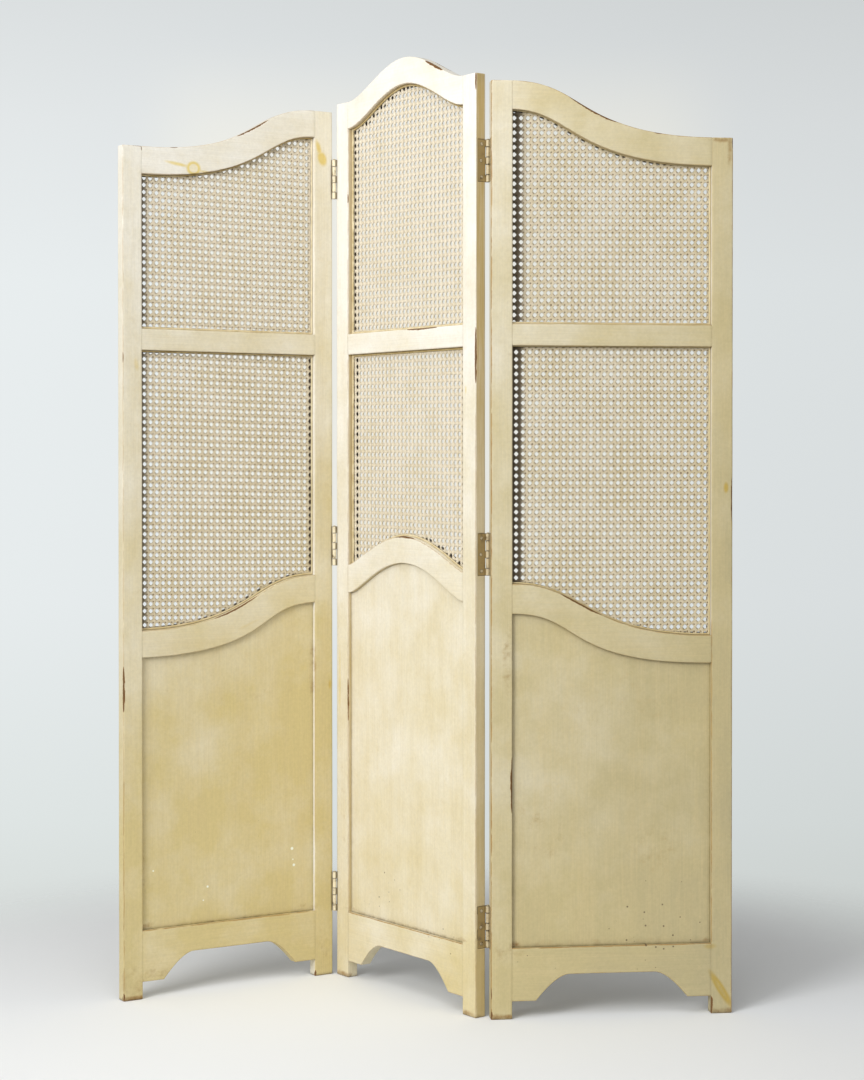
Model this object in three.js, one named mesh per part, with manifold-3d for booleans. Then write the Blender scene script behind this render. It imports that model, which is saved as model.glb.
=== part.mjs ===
// Three-panel folding screen: painted frames with woven cane above a plywood field, joined by
// butt hinges into a zig-zag. Millimetres, +Z up, origin on the floor under the middle of the
// screen, front faces towards -Y.
//
// Each panel is built flat in its own frame: X across its width, Y from the front face to the
// back face, Z up from the floor. It is then turned about its hinge pins. A rail's curves are
// drawn over "reach", the distance from the opening's low end.

import * as THREE from 'three';
import { mergeVertices } from 'three/addons/utils/BufferGeometryUtils.js';
import Module from 'manifold-3d';

const manifold = await Module();
manifold.setup();

// ---- Stance: how far each panel is turned from the X axis, in degrees ----
const LEFT_TURN = 31.5;
const CENTRE_TURN = -53.3;
const RIGHT_TURN = 6.9;

// ---- Frame members ----
const PANEL_WIDTH = 440;
const STILE_WIDTH = 38.5;
const THICKNESS = 22;
const FOOT_HEIGHT = 32;
const BOTTOM_RAIL_TOP = 127.5;
const CROSS_RAIL_BOTTOM = 1203.5;
const CROSS_RAIL_DEPTH = 39.5;
const OUTER_STILE_HEIGHT = 1580;
const OGEE_RISE = 95;
const CENTRE_STILE_HEIGHT = 1690;
const CREST_RISE = 59;

// Curved rails. low is the height of the upper edge at the low end of its curve, and rise is how
// far it climbs. The depths are measured down from it at the two ends. Each pull is the share of
// the curve's run that a control point reaches along the level, from the low and the high end.
const SIDE_TOP_RAIL = {
  low: OUTER_STILE_HEIGHT,
  rise: OGEE_RISE,
  lowDepth: 51,
  highDepth: 51.5,
  edgePulls: [0.675, 0.364],
  undersidePulls: [0.708, 0.3],
};
const SIDE_WAIST_RAIL = {
  low: 684,
  rise: 94.5,
  lowDepth: 50,
  highDepth: 53.5,
  edgePulls: [0.636, 0.364],
  undersidePulls: [0.76, 0.353],
};
const CENTRE_TOP_RAIL = {
  low: CENTRE_STILE_HEIGHT,
  rise: CREST_RISE,
  lowDepth: 52,
  highDepth: 49.5,
  edgePulls: [0.264, 0.386],
  undersidePulls: [0.264, 0.397],
};
const CENTRE_WAIST_RAIL = {
  low: 799,
  rise: 59,
  lowDepth: 54,
  highDepth: 50,
  edgePulls: [0.116, 0.42],
  undersidePulls: [0.18, 0.463],
};
const CURVE_STEPS = 12;

// Scalloped apron under the bottom rail
const APRON_FLAT = 43;
const APRON_SHOULDER = 81;
const APRON_LEVEL = 105;
const APRON_RISE = 46.5;
const APRON_STEPS = 5;

// ---- Joinery ----
const JOINT_GAP = 0.3;
const TENON_THICKNESS = 7;
const TENON_LENGTH = 24;
const TENON_SHOULDER = 10;

// ---- Fillings ----
const PLYWOOD_THICKNESS = 6;
const PLYWOOD_RECESS = 8;
const GROOVE_DEPTH = 8;
const CANE_RECESS = 10.5;
const CANE_THICKNESS = 1.4;
const LEDGE_WIDTH = 6;
const SPLINE_WIDTH = 4.5;
const SPLINE_HEIGHT = 2.6;
const NET_PITCH = 58;
const NET_STRAND = 14;

// ---- Hinges ----
const HINGE_HEIGHT = 76;
const LEAF_THICKNESS = 1.6;
const LEAF_REACH = 17;
const KNUCKLE_RADIUS = 3.6;
const KNUCKLE_SIDES = 8;
const END_KNUCKLE = 13.2;
const KNUCKLE_GAP = 0.4;
const PIN_RADIUS = 1.5;
const PIN_CLEARANCE = 0.2;
const PIN_HEAD_RADIUS = 2.6;
const PIN_HEAD_HEIGHT = 1.4;
const PIN_OFFSET = 4.2;
const SCREW_INSET = 8.5;
const SCREW_HOLE_RADIUS = 1.8;
const SCREW_SINK_RADIUS = 3;
const SCREW_SIDES = 6;
const SCREW_NEAR = 8.4;
const SCREW_FAR = 10;
const SCREW_CUT = 0.1;
const LOWER_HINGE_HEIGHT = 162;
const LEFT_MIDDLE_HINGE_HEIGHT = 834;
const RIGHT_MIDDLE_HINGE_HEIGHT = 830.5;
const LEFT_UPPER_HINGE_DROP = 130.5;
const RIGHT_UPPER_HINGE_DROP = 140.5;

// ---- Worked out from the above ----
const OPENING = PANEL_WIDTH - 2 * STILE_WIDTH;
const SIDE_HINGE_STILE_HEIGHT = OUTER_STILE_HEIGHT + OGEE_RISE;
const CROSS_RAIL_TOP = CROSS_RAIL_BOTTOM + CROSS_RAIL_DEPTH;
const TENON_FRONT = (THICKNESS - TENON_THICKNESS) / 2;
const TENON_BACK = TENON_FRONT + TENON_THICKNESS;
const GROOVE_FRONT = PLYWOOD_RECESS - JOINT_GAP;
const GROOVE_BACK = PLYWOOD_RECESS + PLYWOOD_THICKNESS + JOINT_GAP;
const CANE_BACK = CANE_RECESS + CANE_THICKNESS;
const LEDGE_FRONT = CANE_BACK + JOINT_GAP;
const SPLINE_BACK = CANE_RECESS - JOINT_GAP;
const SPLINE_FRONT = SPLINE_BACK - SPLINE_HEIGHT;
const EDGE_TO_PIN = KNUCKLE_RADIUS - LEAF_THICKNESS;
const LEFT_HINGE_HEIGHTS = {
  lower: LOWER_HINGE_HEIGHT,
  middle: LEFT_MIDDLE_HINGE_HEIGHT,
  upper: SIDE_HINGE_STILE_HEIGHT - LEFT_UPPER_HINGE_DROP,
};
const RIGHT_HINGE_HEIGHTS = {
  lower: LOWER_HINGE_HEIGHT,
  middle: RIGHT_MIDDLE_HINGE_HEIGHT,
  upper: SIDE_HINGE_STILE_HEIGHT - RIGHT_UPPER_HINGE_DROP,
};
const CURVE_GAP = JOINT_GAP * 1.25; // leaves about one joint gap square to a sloping edge
const NEAR = 1e-4; // points along a curve closer than this are one point
const MERGE_DISTANCE = 1e-5;
const SINK = 1; // how far joined solids run into each other, and cutters past a face

const paint = new THREE.MeshStandardMaterial({ color: 0xe2d7b6, roughness: 0.5, metalness: 0 });
const fieldPaint = new THREE.MeshStandardMaterial({ color: 0xd9cda9, roughness: 0.55, metalness: 0 });
const cane = new THREE.MeshStandardMaterial({ color: 0xd8cdb2, roughness: 0.7, metalness: 0 });
const reed = new THREE.MeshStandardMaterial({ color: 0xcfc19b, roughness: 0.65, metalness: 0 });
const steel = new THREE.MeshStandardMaterial({ color: 0xa79a78, roughness: 0.45, metalness: 0.7 });

// ---- Solids ----

function toSolid(geometry) {
  const bare = new THREE.BufferGeometry();
  bare.setAttribute('position', geometry.getAttribute('position'));
  bare.setIndex(geometry.getIndex());
  const merged = mergeVertices(bare, MERGE_DISTANCE);
  return new manifold.Manifold(new manifold.Mesh({
    numProp: 3,
    vertProperties: new Float32Array(merged.getAttribute('position').array),
    triVerts: new Uint32Array(merged.getIndex().array),
  }));
}

function toGeometry(solid) {
  const mesh = solid.getMesh();
  const geometry = new THREE.BufferGeometry();
  geometry.setAttribute('position', new THREE.BufferAttribute(mesh.vertProperties, 3));
  geometry.setIndex(new THREE.BufferAttribute(mesh.triVerts, 1));
  geometry.computeVertexNormals();
  return geometry;
}

// A plate with the given outline in X and Z, between two depths from the front face.
function plate(outline, front, back) {
  const shape = new THREE.Shape(outline);
  const geometry = new THREE.ExtrudeGeometry(shape, { depth: back - front, bevelEnabled: false });
  geometry.rotateX(Math.PI / 2);
  geometry.translate(0, back, 0);
  return toSolid(geometry);
}

function block([x0, x1], [y0, y1], [z0, z1]) {
  const geometry = new THREE.BoxGeometry(Math.abs(x1 - x0), Math.abs(y1 - y0), z1 - z0);
  geometry.translate((x0 + x1) / 2, (y0 + y1) / 2, (z0 + z1) / 2);
  return toSolid(geometry);
}

function rod(radius, x, y, z0, z1) {
  const geometry = new THREE.CylinderGeometry(radius, radius, z1 - z0, KNUCKLE_SIDES);
  geometry.rotateX(Math.PI / 2);
  geometry.translate(x, y, (z0 + z1) / 2);
  return toSolid(geometry);
}

const at = (x, z) => new THREE.Vector2(x, z);

// ---- Curves, as points from the low end of the opening across to its other end ----

function sCurve(low, high, [lowPull, highPull], run) {
  return new THREE.CubicBezierCurve(
    at(0, low),
    at(lowPull * run, low),
    at(run - highPull * run, high),
    at(run, high),
  ).getPoints(CURVE_STEPS);
}

const ogee = (low, high, pulls) => sCurve(low, high, pulls, OPENING);

function camelBack(low, high, pulls) {
  const climb = sCurve(low, high, pulls, OPENING / 2);
  const fall = climb.slice(0, -1).reverse().map((p) => at(OPENING - p.x, p.y));
  return [...climb, ...fall];
}

// A curved rail's two edges
function railCurves(rail, curve) {
  const high = rail.low + rail.rise;
  return {
    lower: curve(rail.low - rail.lowDepth, high - rail.highDepth, rail.undersidePulls),
    upper: curve(rail.low, high, rail.edgePulls),
  };
}

const level = (z) => [at(0, z), at(OPENING, z)];

function heightAt(curve, reach) {
  const next = curve.findIndex((p, index) => index > 0 && p.x >= reach - NEAR);
  const [a, b] = [curve[next - 1], curve[next]];
  return a.y + ((b.y - a.y) * (reach - a.x)) / (b.x - a.x);
}

// The stretch of a curve between two reaches, lifted by a height.
function stretch(curve, from, to, lift = 0) {
  const inside = curve.filter((p) => p.x > from + NEAR && p.x < to - NEAR);
  const points = [at(from, heightAt(curve, from)), ...inside, at(to, heightAt(curve, to))];
  return points.map((p) => at(p.x, p.y + lift));
}

const highest = (curve, from, to) => Math.max(...stretch(curve, from, to).map((p) => p.y));
const lowest = (curve, from, to) => Math.min(...stretch(curve, from, to).map((p) => p.y));

// ---- Rails, each as its lower and upper edge ----

const crossRail = { lower: level(CROSS_RAIL_BOTTOM), upper: level(CROSS_RAIL_TOP) };
const bottomRail = { lower: level(FOOT_HEIGHT), upper: level(BOTTOM_RAIL_TOP) };
const sideRails = {
  top: railCurves(SIDE_TOP_RAIL, ogee),
  cross: crossRail,
  waist: railCurves(SIDE_WAIST_RAIL, ogee),
  bottom: bottomRail,
};
const centreRails = {
  top: railCurves(CENTRE_TOP_RAIL, camelBack),
  cross: crossRail,
  waist: railCurves(CENTRE_WAIST_RAIL, camelBack),
  bottom: bottomRail,
};

const group = new THREE.Group();

function addMesh(parent, name, solid, material) {
  const mesh = new THREE.Mesh(toGeometry(solid), material);
  mesh.name = name;
  parent.add(mesh);
}

// Everything in one panel. mirrored puts the low end of its curves on the right.
function buildPanel(parent, name, rails, mirrored, stiles) {
  const across = (reach) => (mirrored ? PANEL_WIDTH - STILE_WIDTH - reach : STILE_WIDTH + reach);
  const place = (points) => points.map((p) => at(across(p.x), p.y));
  const span = (from, to) => [across(from), across(to)].sort((a, b) => a - b);
  const band = (lower, upper, front, back) => plate(
    place([...lower, ...[...upper].reverse()]),
    front,
    back,
  );

  const caneOpenings = {
    upper: { lower: rails.cross.upper, upper: rails.top.lower },
    middle: { lower: rails.waist.upper, upper: rails.cross.lower },
  };

  // The heights of a rail's tenon, or of its mortise, at one end of the opening
  const tenonHeights = (rail, reach, gap) => [
    heightAt(rail.lower, reach) + TENON_SHOULDER - gap,
    heightAt(rail.upper, reach) - TENON_SHOULDER + gap,
  ];

  // Stiles: a long post with ledges behind the cane, a groove for the plywood and mortises
  for (const stile of stiles) {
    const low = stile.end === 'low';
    const reach = low ? 0 : OPENING;
    const away = low ? -1 : 1;
    let post = block(span(reach, reach + away * STILE_WIDTH), [0, THICKNESS], [0, stile.height]);
    for (const opening of Object.values(caneOpenings)) {
      const [from, to] = [reach, reach - away * LEDGE_WIDTH].sort((a, b) => a - b);
      const bottom = highest(opening.lower, from, to) + JOINT_GAP;
      const top = lowest(opening.upper, from, to) - JOINT_GAP;
      const ledgeSpan = span(reach + away * SINK, reach - away * LEDGE_WIDTH);
      post = post.add(block(ledgeSpan, [LEDGE_FRONT, THICKNESS], [bottom, top]));
    }
    const grooveTop = heightAt(rails.waist.lower, reach) + GROOVE_DEPTH;
    post = post.subtract(block(
      span(reach - away * SINK, reach + away * GROOVE_DEPTH),
      [GROOVE_FRONT, GROOVE_BACK],
      [BOTTOM_RAIL_TOP - GROOVE_DEPTH, grooveTop],
    ));
    for (const rail of Object.values(rails)) {
      post = post.subtract(block(
        span(reach - away * SINK, reach + away * (TENON_LENGTH + JOINT_GAP)),
        [TENON_FRONT - JOINT_GAP, TENON_BACK + JOINT_GAP],
        tenonHeights(rail, reach, JOINT_GAP),
      ));
    }
    for (const hinge of stile.hinges) post = post.subtract(hingePocket(hinge));
    addMesh(parent, stile.name, post, paint);
  }

  // Rails: a bar between the stiles with a tenon at each end
  const bar = (rail) => {
    const [from, to] = [JOINT_GAP, OPENING - JOINT_GAP];
    return band(stretch(rail.lower, from, to), stretch(rail.upper, from, to), 0, THICKNESS);
  };
  const withTenons = (solid, rail) => {
    let whole = solid;
    for (const [reach, away] of [[0, -1], [OPENING, 1]]) {
      whole = whole.add(block(
        span(reach - away * (JOINT_GAP + SINK), reach + away * TENON_LENGTH),
        [TENON_FRONT, TENON_BACK],
        tenonHeights(rail, reach, 0),
      ));
    }
    return whole;
  };
  // The ledge that the cane lies on: above an edge, or below an underside
  const ledge = (curve, side) => {
    const inset = LEDGE_WIDTH + JOINT_GAP;
    const near = stretch(curve, inset, OPENING - inset, -side * SINK);
    const far = stretch(curve, inset, OPENING - inset, side * LEDGE_WIDTH);
    return band(near, far, LEDGE_FRONT, THICKNESS);
  };
  // The groove that the plywood fits, into an edge from above or into an underside from below
  const groove = (curve, side) => band(
    stretch(curve, 0, OPENING, -side * SINK),
    stretch(curve, 0, OPENING, side * GROOVE_DEPTH),
    GROOVE_FRONT,
    GROOVE_BACK,
  );

  const topRail = bar(rails.top).add(ledge(rails.top.lower, -1));
  addMesh(parent, `${name}_top_rail`, withTenons(topRail, rails.top), paint);

  const cross = bar(rails.cross).add(ledge(rails.cross.upper, 1)).add(ledge(rails.cross.lower, -1));
  addMesh(parent, `${name}_cross_rail`, withTenons(cross, rails.cross), paint);

  const waist = bar(rails.waist).add(ledge(rails.waist.upper, 1)).subtract(groove(rails.waist.lower, 1));
  addMesh(parent, `${name}_waist_rail`, withTenons(waist, rails.waist), paint);

  const bottom = bar(rails.bottom)
    .subtract(plate(place(apronArch()), -SINK, THICKNESS + SINK))
    .subtract(groove(rails.bottom.upper, -1));
  addMesh(parent, `${name}_bottom_rail`, withTenons(bottom, rails.bottom), paint);

  // Plywood, held in the groove on all four sides
  const tongue = GROOVE_DEPTH - JOINT_GAP;
  const head = stretch(rails.waist.lower, 0, OPENING, tongue);
  const outline = [
    at(-tongue, BOTTOM_RAIL_TOP - tongue),
    at(-tongue, head[0].y),
    ...head,
    at(OPENING + tongue, head[head.length - 1].y),
    at(OPENING + tongue, BOTTOM_RAIL_TOP - tongue),
  ];
  const field = plate(place(outline), PLYWOOD_RECESS, PLYWOOD_RECESS + PLYWOOD_THICKNESS);
  addMesh(parent, `${name}_plywood_field`, field, fieldPaint);

  // Cane sheets on their ledges, and the reed spline that edges each one
  for (const [which, opening] of Object.entries(caneOpenings)) {
    const ring = (inset, lift) => [
      ...stretch(opening.lower, inset, OPENING - inset, lift),
      ...stretch(opening.upper, inset, OPENING - inset, -lift).reverse(),
    ];
    const rim = place(ring(JOINT_GAP, CURVE_GAP));
    let sheet = plate(rim, CANE_RECESS, CANE_BACK);
    for (const [[from, to], heights] of netGaps(opening)) {
      sheet = sheet.subtract(block(span(from, to), [CANE_RECESS - SINK, CANE_BACK + SINK], heights));
    }
    addMesh(parent, `${name}_${which}_cane`, sheet, cane);
    const inner = place(ring(SPLINE_WIDTH, SPLINE_WIDTH));
    const spline = plate(rim, SPLINE_FRONT, SPLINE_BACK)
      .subtract(plate(inner, SPLINE_FRONT - SINK, SPLINE_BACK + SINK));
    addMesh(parent, `${name}_${which}_spline`, spline, reed);
  }
}

// The arch under a bottom rail, open downwards
function apronArch() {
  const [floor, crown] = [FOOT_HEIGHT - SINK, FOOT_HEIGHT + APRON_RISE];
  const shoulder = new THREE.QuadraticBezierCurve(
    at(APRON_FLAT, FOOT_HEIGHT),
    at(APRON_SHOULDER, crown),
    at(APRON_LEVEL, crown),
  ).getPoints(APRON_STEPS);
  const half = [at(APRON_FLAT, floor), ...shoulder];
  return [...half, ...half.map((p) => at(OPENING - p.x, p.y)).reverse()];
}

// The gaps of the open net, in rows and columns centred in the opening
function netGaps(opening) {
  const gap = NET_PITCH - NET_STRAND;
  const columns = Math.floor((OPENING - NET_STRAND) / NET_PITCH);
  const firstColumn = (OPENING - columns * NET_PITCH + NET_STRAND) / 2;
  const [floor, ceiling] = [lowest(opening.lower, 0, OPENING), highest(opening.upper, 0, OPENING)];
  const rows = Math.floor((ceiling - floor - NET_STRAND) / NET_PITCH);
  const firstRow = (floor + ceiling - rows * NET_PITCH + NET_STRAND) / 2;
  const gaps = [];
  for (let row = 0; row < rows; row += 1) {
    for (let column = 0; column < columns; column += 1) {
      const x = firstColumn + column * NET_PITCH;
      const z = firstRow + row * NET_PITCH;
      const clearBelow = z - highest(opening.lower, x, x + gap) > NET_STRAND / 2;
      const clearAbove = lowest(opening.upper, x, x + gap) - z - gap > NET_STRAND / 2;
      if (clearBelow && clearAbove) gaps.push([[x, x + gap], [z, z + gap]]);
    }
  }
  return gaps;
}

// ---- Hinges ----
// A hinge sits on one edge of a panel (its left or right) and on one face (front or back).
// inward runs from the pin into the panel's width, deep from the pin past the face.

function hingeFrame(hinge) {
  return {
    x: (inward) => (hinge.edge === 'right' ? PANEL_WIDTH + EDGE_TO_PIN - inward : inward - EDGE_TO_PIN),
    y: (deep) => (hinge.face === 'front' ? deep - PIN_OFFSET : THICKNESS + PIN_OFFSET - deep),
  };
}

function hingeBlock(hinge, inward, deep, heights) {
  const { x, y } = hingeFrame(hinge);
  return block(inward.map(x), deep.map(y), heights);
}

function hingePocket(hinge) {
  return hingeBlock(
    hinge,
    [EDGE_TO_PIN - SINK, KNUCKLE_RADIUS + JOINT_GAP],
    [PIN_OFFSET - SINK, PIN_OFFSET + LEAF_REACH + JOINT_GAP],
    [hinge.height - HINGE_HEIGHT / 2 - JOINT_GAP, hinge.height + HINGE_HEIGHT / 2 + JOINT_GAP],
  );
}

// The five knuckles' heights from bottom to top. The centre panel's leaf has three of them.
function knuckleHeights(height) {
  const inner = (HINGE_HEIGHT - 3 * END_KNUCKLE) / 2;
  let z = height - HINGE_HEIGHT / 2;
  return [END_KNUCKLE, inner, END_KNUCKLE, inner, END_KNUCKLE].map((length) => {
    const knuckle = [z, z + length];
    z += length;
    return knuckle;
  });
}

function hingeLeaf(hinge, first) {
  const { x, y } = hingeFrame(hinge);
  const [bottom, top] = [hinge.height - HINGE_HEIGHT / 2, hinge.height + HINGE_HEIGHT / 2];
  const notch = KNUCKLE_RADIUS + KNUCKLE_GAP;
  const thick = [EDGE_TO_PIN, KNUCKLE_RADIUS];
  let leaf = hingeBlock(hinge, thick, [notch, PIN_OFFSET + LEAF_REACH], [bottom, top]);
  knuckleHeights(hinge.height).forEach(([z0, z1], index) => {
    if (index % 2 !== first) return;
    const from = index === 0 ? z0 : z0 + KNUCKLE_GAP / 2;
    const to = index === 4 ? z1 : z1 - KNUCKLE_GAP / 2;
    leaf = leaf.add(hingeBlock(hinge, thick, [0, notch + SINK], [from, to]));
    leaf = leaf.add(rod(KNUCKLE_RADIUS, x(0), y(0), from, to));
    leaf = leaf.subtract(rod(PIN_RADIUS + PIN_CLEARANCE, x(0), y(0), from - SINK, to + SINK));
  });
  const outward = hinge.edge === 'right' ? 1 : -1;
  const rows = [bottom + SCREW_INSET, hinge.height, top - SCREW_INSET];
  rows.forEach((z, index) => {
    const deep = PIN_OFFSET + (index === 1 ? SCREW_FAR : SCREW_NEAR);
    const sink = new THREE.CylinderGeometry(
      SCREW_SINK_RADIUS,
      SCREW_HOLE_RADIUS,
      LEAF_THICKNESS + 2 * SCREW_CUT,
      SCREW_SIDES,
    );
    sink.rotateZ((-outward * Math.PI) / 2);
    sink.translate(x((EDGE_TO_PIN + KNUCKLE_RADIUS) / 2), y(deep), z);
    leaf = leaf.subtract(toSolid(sink));
  });
  return leaf;
}

function hingePin(hinge) {
  const { x, y } = hingeFrame(hinge);
  const [bottom, top] = [hinge.height - HINGE_HEIGHT / 2, hinge.height + HINGE_HEIGHT / 2];
  const profile = [
    at(0, bottom),
    at(PIN_RADIUS, bottom),
    at(PIN_RADIUS, top + JOINT_GAP),
    at(PIN_HEAD_RADIUS, top + JOINT_GAP),
    at(PIN_HEAD_RADIUS, top + JOINT_GAP + PIN_HEAD_HEIGHT / 2),
    at(PIN_RADIUS, top + JOINT_GAP + PIN_HEAD_HEIGHT),
    at(0, top + JOINT_GAP + PIN_HEAD_HEIGHT),
  ];
  const geometry = new THREE.LatheGeometry(profile, KNUCKLE_SIDES);
  geometry.rotateX(Math.PI / 2);
  geometry.translate(x(0), y(0), 0);
  return toSolid(geometry);
}

const hingesOn = (edge, face, heights) => Object.entries(heights).map(
  ([place, height]) => ({ place, height, edge, face }),
);

const leftPanelHinges = hingesOn('right', 'front', LEFT_HINGE_HEIGHTS);
const centreLeftHinges = hingesOn('left', 'front', LEFT_HINGE_HEIGHTS);
const centreRightHinges = hingesOn('right', 'back', RIGHT_HINGE_HEIGHTS);
const rightPanelHinges = hingesOn('left', 'back', RIGHT_HINGE_HEIGHTS);

function addHingeLeaves(parent, fold, side, hinges, first) {
  for (const hinge of hinges) {
    addMesh(parent, `${fold}_${hinge.place}_hinge_${side}`, hingeLeaf(hinge, first), steel);
  }
}

// ---- Assembly: the centre panel stands first, and each side panel hangs on its hinge pins ----

// A group whose own point (x, y) stands at a point of the floor plan, turned about Z.
function panelGroup(turn, [x, y], stand) {
  const panel = new THREE.Group();
  panel.rotation.z = THREE.MathUtils.degToRad(turn);
  const offset = new THREE.Vector3(x, y, 0).applyEuler(panel.rotation);
  panel.position.copy(stand).sub(offset);
  group.add(panel);
  return panel;
}

const pinSpot = (hinge) => [hingeFrame(hinge).x(0), hingeFrame(hinge).y(0)];
const leftPins = new THREE.Vector3(0, 0, 0);

const centre = panelGroup(CENTRE_TURN, pinSpot(centreLeftHinges[0]), leftPins);
const centreStile = { height: CENTRE_STILE_HEIGHT };
buildPanel(centre, 'centre', centreRails, false, [
  { name: 'centre_left_stile', end: 'low', hinges: centreLeftHinges, ...centreStile },
  { name: 'centre_right_stile', end: 'high', hinges: centreRightHinges, ...centreStile },
]);
addHingeLeaves(centre, 'left_fold', 'centre_leaf', centreLeftHinges, 0);
addHingeLeaves(centre, 'right_fold', 'centre_leaf', centreRightHinges, 0);
for (const [fold, hinges] of [['left_fold', centreLeftHinges], ['right_fold', centreRightHinges]]) {
  for (const hinge of hinges) {
    addMesh(centre, `${fold}_${hinge.place}_hinge_pin`, hingePin(hinge), steel);
  }
}

const outerStile = { end: 'low', height: OUTER_STILE_HEIGHT, hinges: [] };
const hingeStile = { end: 'high', height: SIDE_HINGE_STILE_HEIGHT };

const left = panelGroup(LEFT_TURN, pinSpot(leftPanelHinges[0]), leftPins);
buildPanel(left, 'left', sideRails, false, [
  { name: 'left_outer_stile', ...outerStile },
  { name: 'left_hinge_stile', hinges: leftPanelHinges, ...hingeStile },
]);
addHingeLeaves(left, 'left_fold', 'side_leaf', leftPanelHinges, 1);

const rightPins = new THREE.Vector3(...pinSpot(centreRightHinges[0]), 0)
  .applyEuler(centre.rotation)
  .add(centre.position);
const right = panelGroup(RIGHT_TURN, pinSpot(rightPanelHinges[0]), rightPins);
buildPanel(right, 'right', sideRails, true, [
  { name: 'right_outer_stile', ...outerStile },
  { name: 'right_hinge_stile', hinges: rightPanelHinges, ...hingeStile },
]);
addHingeLeaves(right, 'right_fold', 'side_leaf', rightPanelHinges, 1);

// The origin is on the floor, under the middle of the standing screen.
const middle = new THREE.Box3().setFromObject(group, true).getCenter(new THREE.Vector3());
group.position.set(-middle.x, -middle.y, 0);

export default group;
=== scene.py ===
"""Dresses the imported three-panel folding screen: worn cream paint over wood, woven cane, reed
splines and painted steel hinges, on a plain pale studio floor.

Work inside a panel is done in millimetres, in the panel's own frame: u runs across its width, n
from its front face to its back face, and z up from the floor. Panel.place turns that into metres
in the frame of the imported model.
"""

import itertools
import math

import bmesh
import bpy
import numpy as np
from bpy.props import FloatProperty, FloatVectorProperty, PointerProperty
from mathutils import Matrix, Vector


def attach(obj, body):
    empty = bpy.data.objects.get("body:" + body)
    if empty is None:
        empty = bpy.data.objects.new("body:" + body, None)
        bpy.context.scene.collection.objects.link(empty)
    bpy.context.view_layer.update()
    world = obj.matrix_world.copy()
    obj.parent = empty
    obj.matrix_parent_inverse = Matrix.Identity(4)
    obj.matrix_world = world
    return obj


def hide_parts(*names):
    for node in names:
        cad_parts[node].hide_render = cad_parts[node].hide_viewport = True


bl_info = {
    "name": "Folding Screen Dresser",
    "version": (1, 0, 0),
    "blender": (4, 5, 0),
    "location": "View3D > Sidebar > Folding Screen",
    "description": "Builds the painted frames, woven cane, hinges and studio of a folding screen",
    "category": "Object",
}

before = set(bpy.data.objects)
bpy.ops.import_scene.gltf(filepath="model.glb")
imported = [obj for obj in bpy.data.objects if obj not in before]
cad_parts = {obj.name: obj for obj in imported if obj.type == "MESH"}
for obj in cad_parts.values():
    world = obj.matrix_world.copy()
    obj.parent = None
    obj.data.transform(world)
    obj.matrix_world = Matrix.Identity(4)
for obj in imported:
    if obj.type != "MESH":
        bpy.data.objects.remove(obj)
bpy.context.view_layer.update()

MM = 0.001

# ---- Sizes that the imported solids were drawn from, in millimetres ----
PANEL_WIDTH = 440.0
STILE_WIDTH = 38.5
THICKNESS = 22.0
OPENING = PANEL_WIDTH - 2 * STILE_WIDTH
FOOT_HEIGHT = 32.0
BOTTOM_RAIL_TOP = 127.5
CROSS_RAIL = (1203.5, 1243.0)
SIDE_STILE_HEIGHTS = (1580.0, 1675.0)
CENTRE_STILE_HEIGHT = 1690.0
APRON = {"flat": 43.0, "shoulder": 81.0, "level": 105.0, "rise": 46.5}
JOINT_GAP = 0.1
PLYWOOD_DEPTHS = (8.0, 14.0)
CANE_DEPTH = 11.2
LEDGE_FRONT = 12.4
SPLINE_DEPTHS = (7.6, 10.2)
# How much of the reed spline shows on each side of an opening, and the share of it in brown, which
# is
# painted shade: most where that side lies in shade, least on the right, which faces the light
SPLINES = {
    "left": {"bottom": (4.5, 0.3), "right": (4.0, 0.05), "top": (3.2, 0.8), "left": (2.5, 0.7)},
    "centre": {"bottom": (4.5, 0.3), "right": (3.0, 0.1), "top": (4.5, 0.95), "left": (7.2, 0.6)},
    "right": {"bottom": (3.4, 0.35), "right": (4.2, 0.05), "top": (1.8, 0.6), "left": (1.6, 0.8)},
}

# A curved rail: height of its upper edge at the low end, its rise, its depths at the low and high
# end, and the pulls of the upper and the lower edge
CURVED_RAILS = {
    "side_top": (1580.0, 95.0, (51.0, 51.5), (0.675, 0.364), (0.708, 0.3)),
    "side_waist": (684.0, 94.5, (50.0, 53.5), (0.636, 0.364), (0.76, 0.353)),
    "centre_top": (1690.0, 59.0, (52.0, 49.5), (0.264, 0.386), (0.264, 0.397)),
    "centre_waist": (799.0, 59.0, (54.0, 50.0), (0.116, 0.42), (0.18, 0.463)),
}

HINGE = {
    "height": 76.0, "leaf": 1.6, "reach": 17.0, "radius": 3.6, "end": 13.2, "gap": 0.4,
    "pin": 1.5, "head": (2.6, 1.4), "offset": 4.2, "inset": 8.5, "near": 8.4, "far": 10.0,
}
FOLDS = {
    "left_fold": {"lower": 162.0, "middle": 834.0, "upper": 1544.5},
    "right_fold": {"lower": 162.0, "middle": 830.5, "upper": 1534.5},
}

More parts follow.
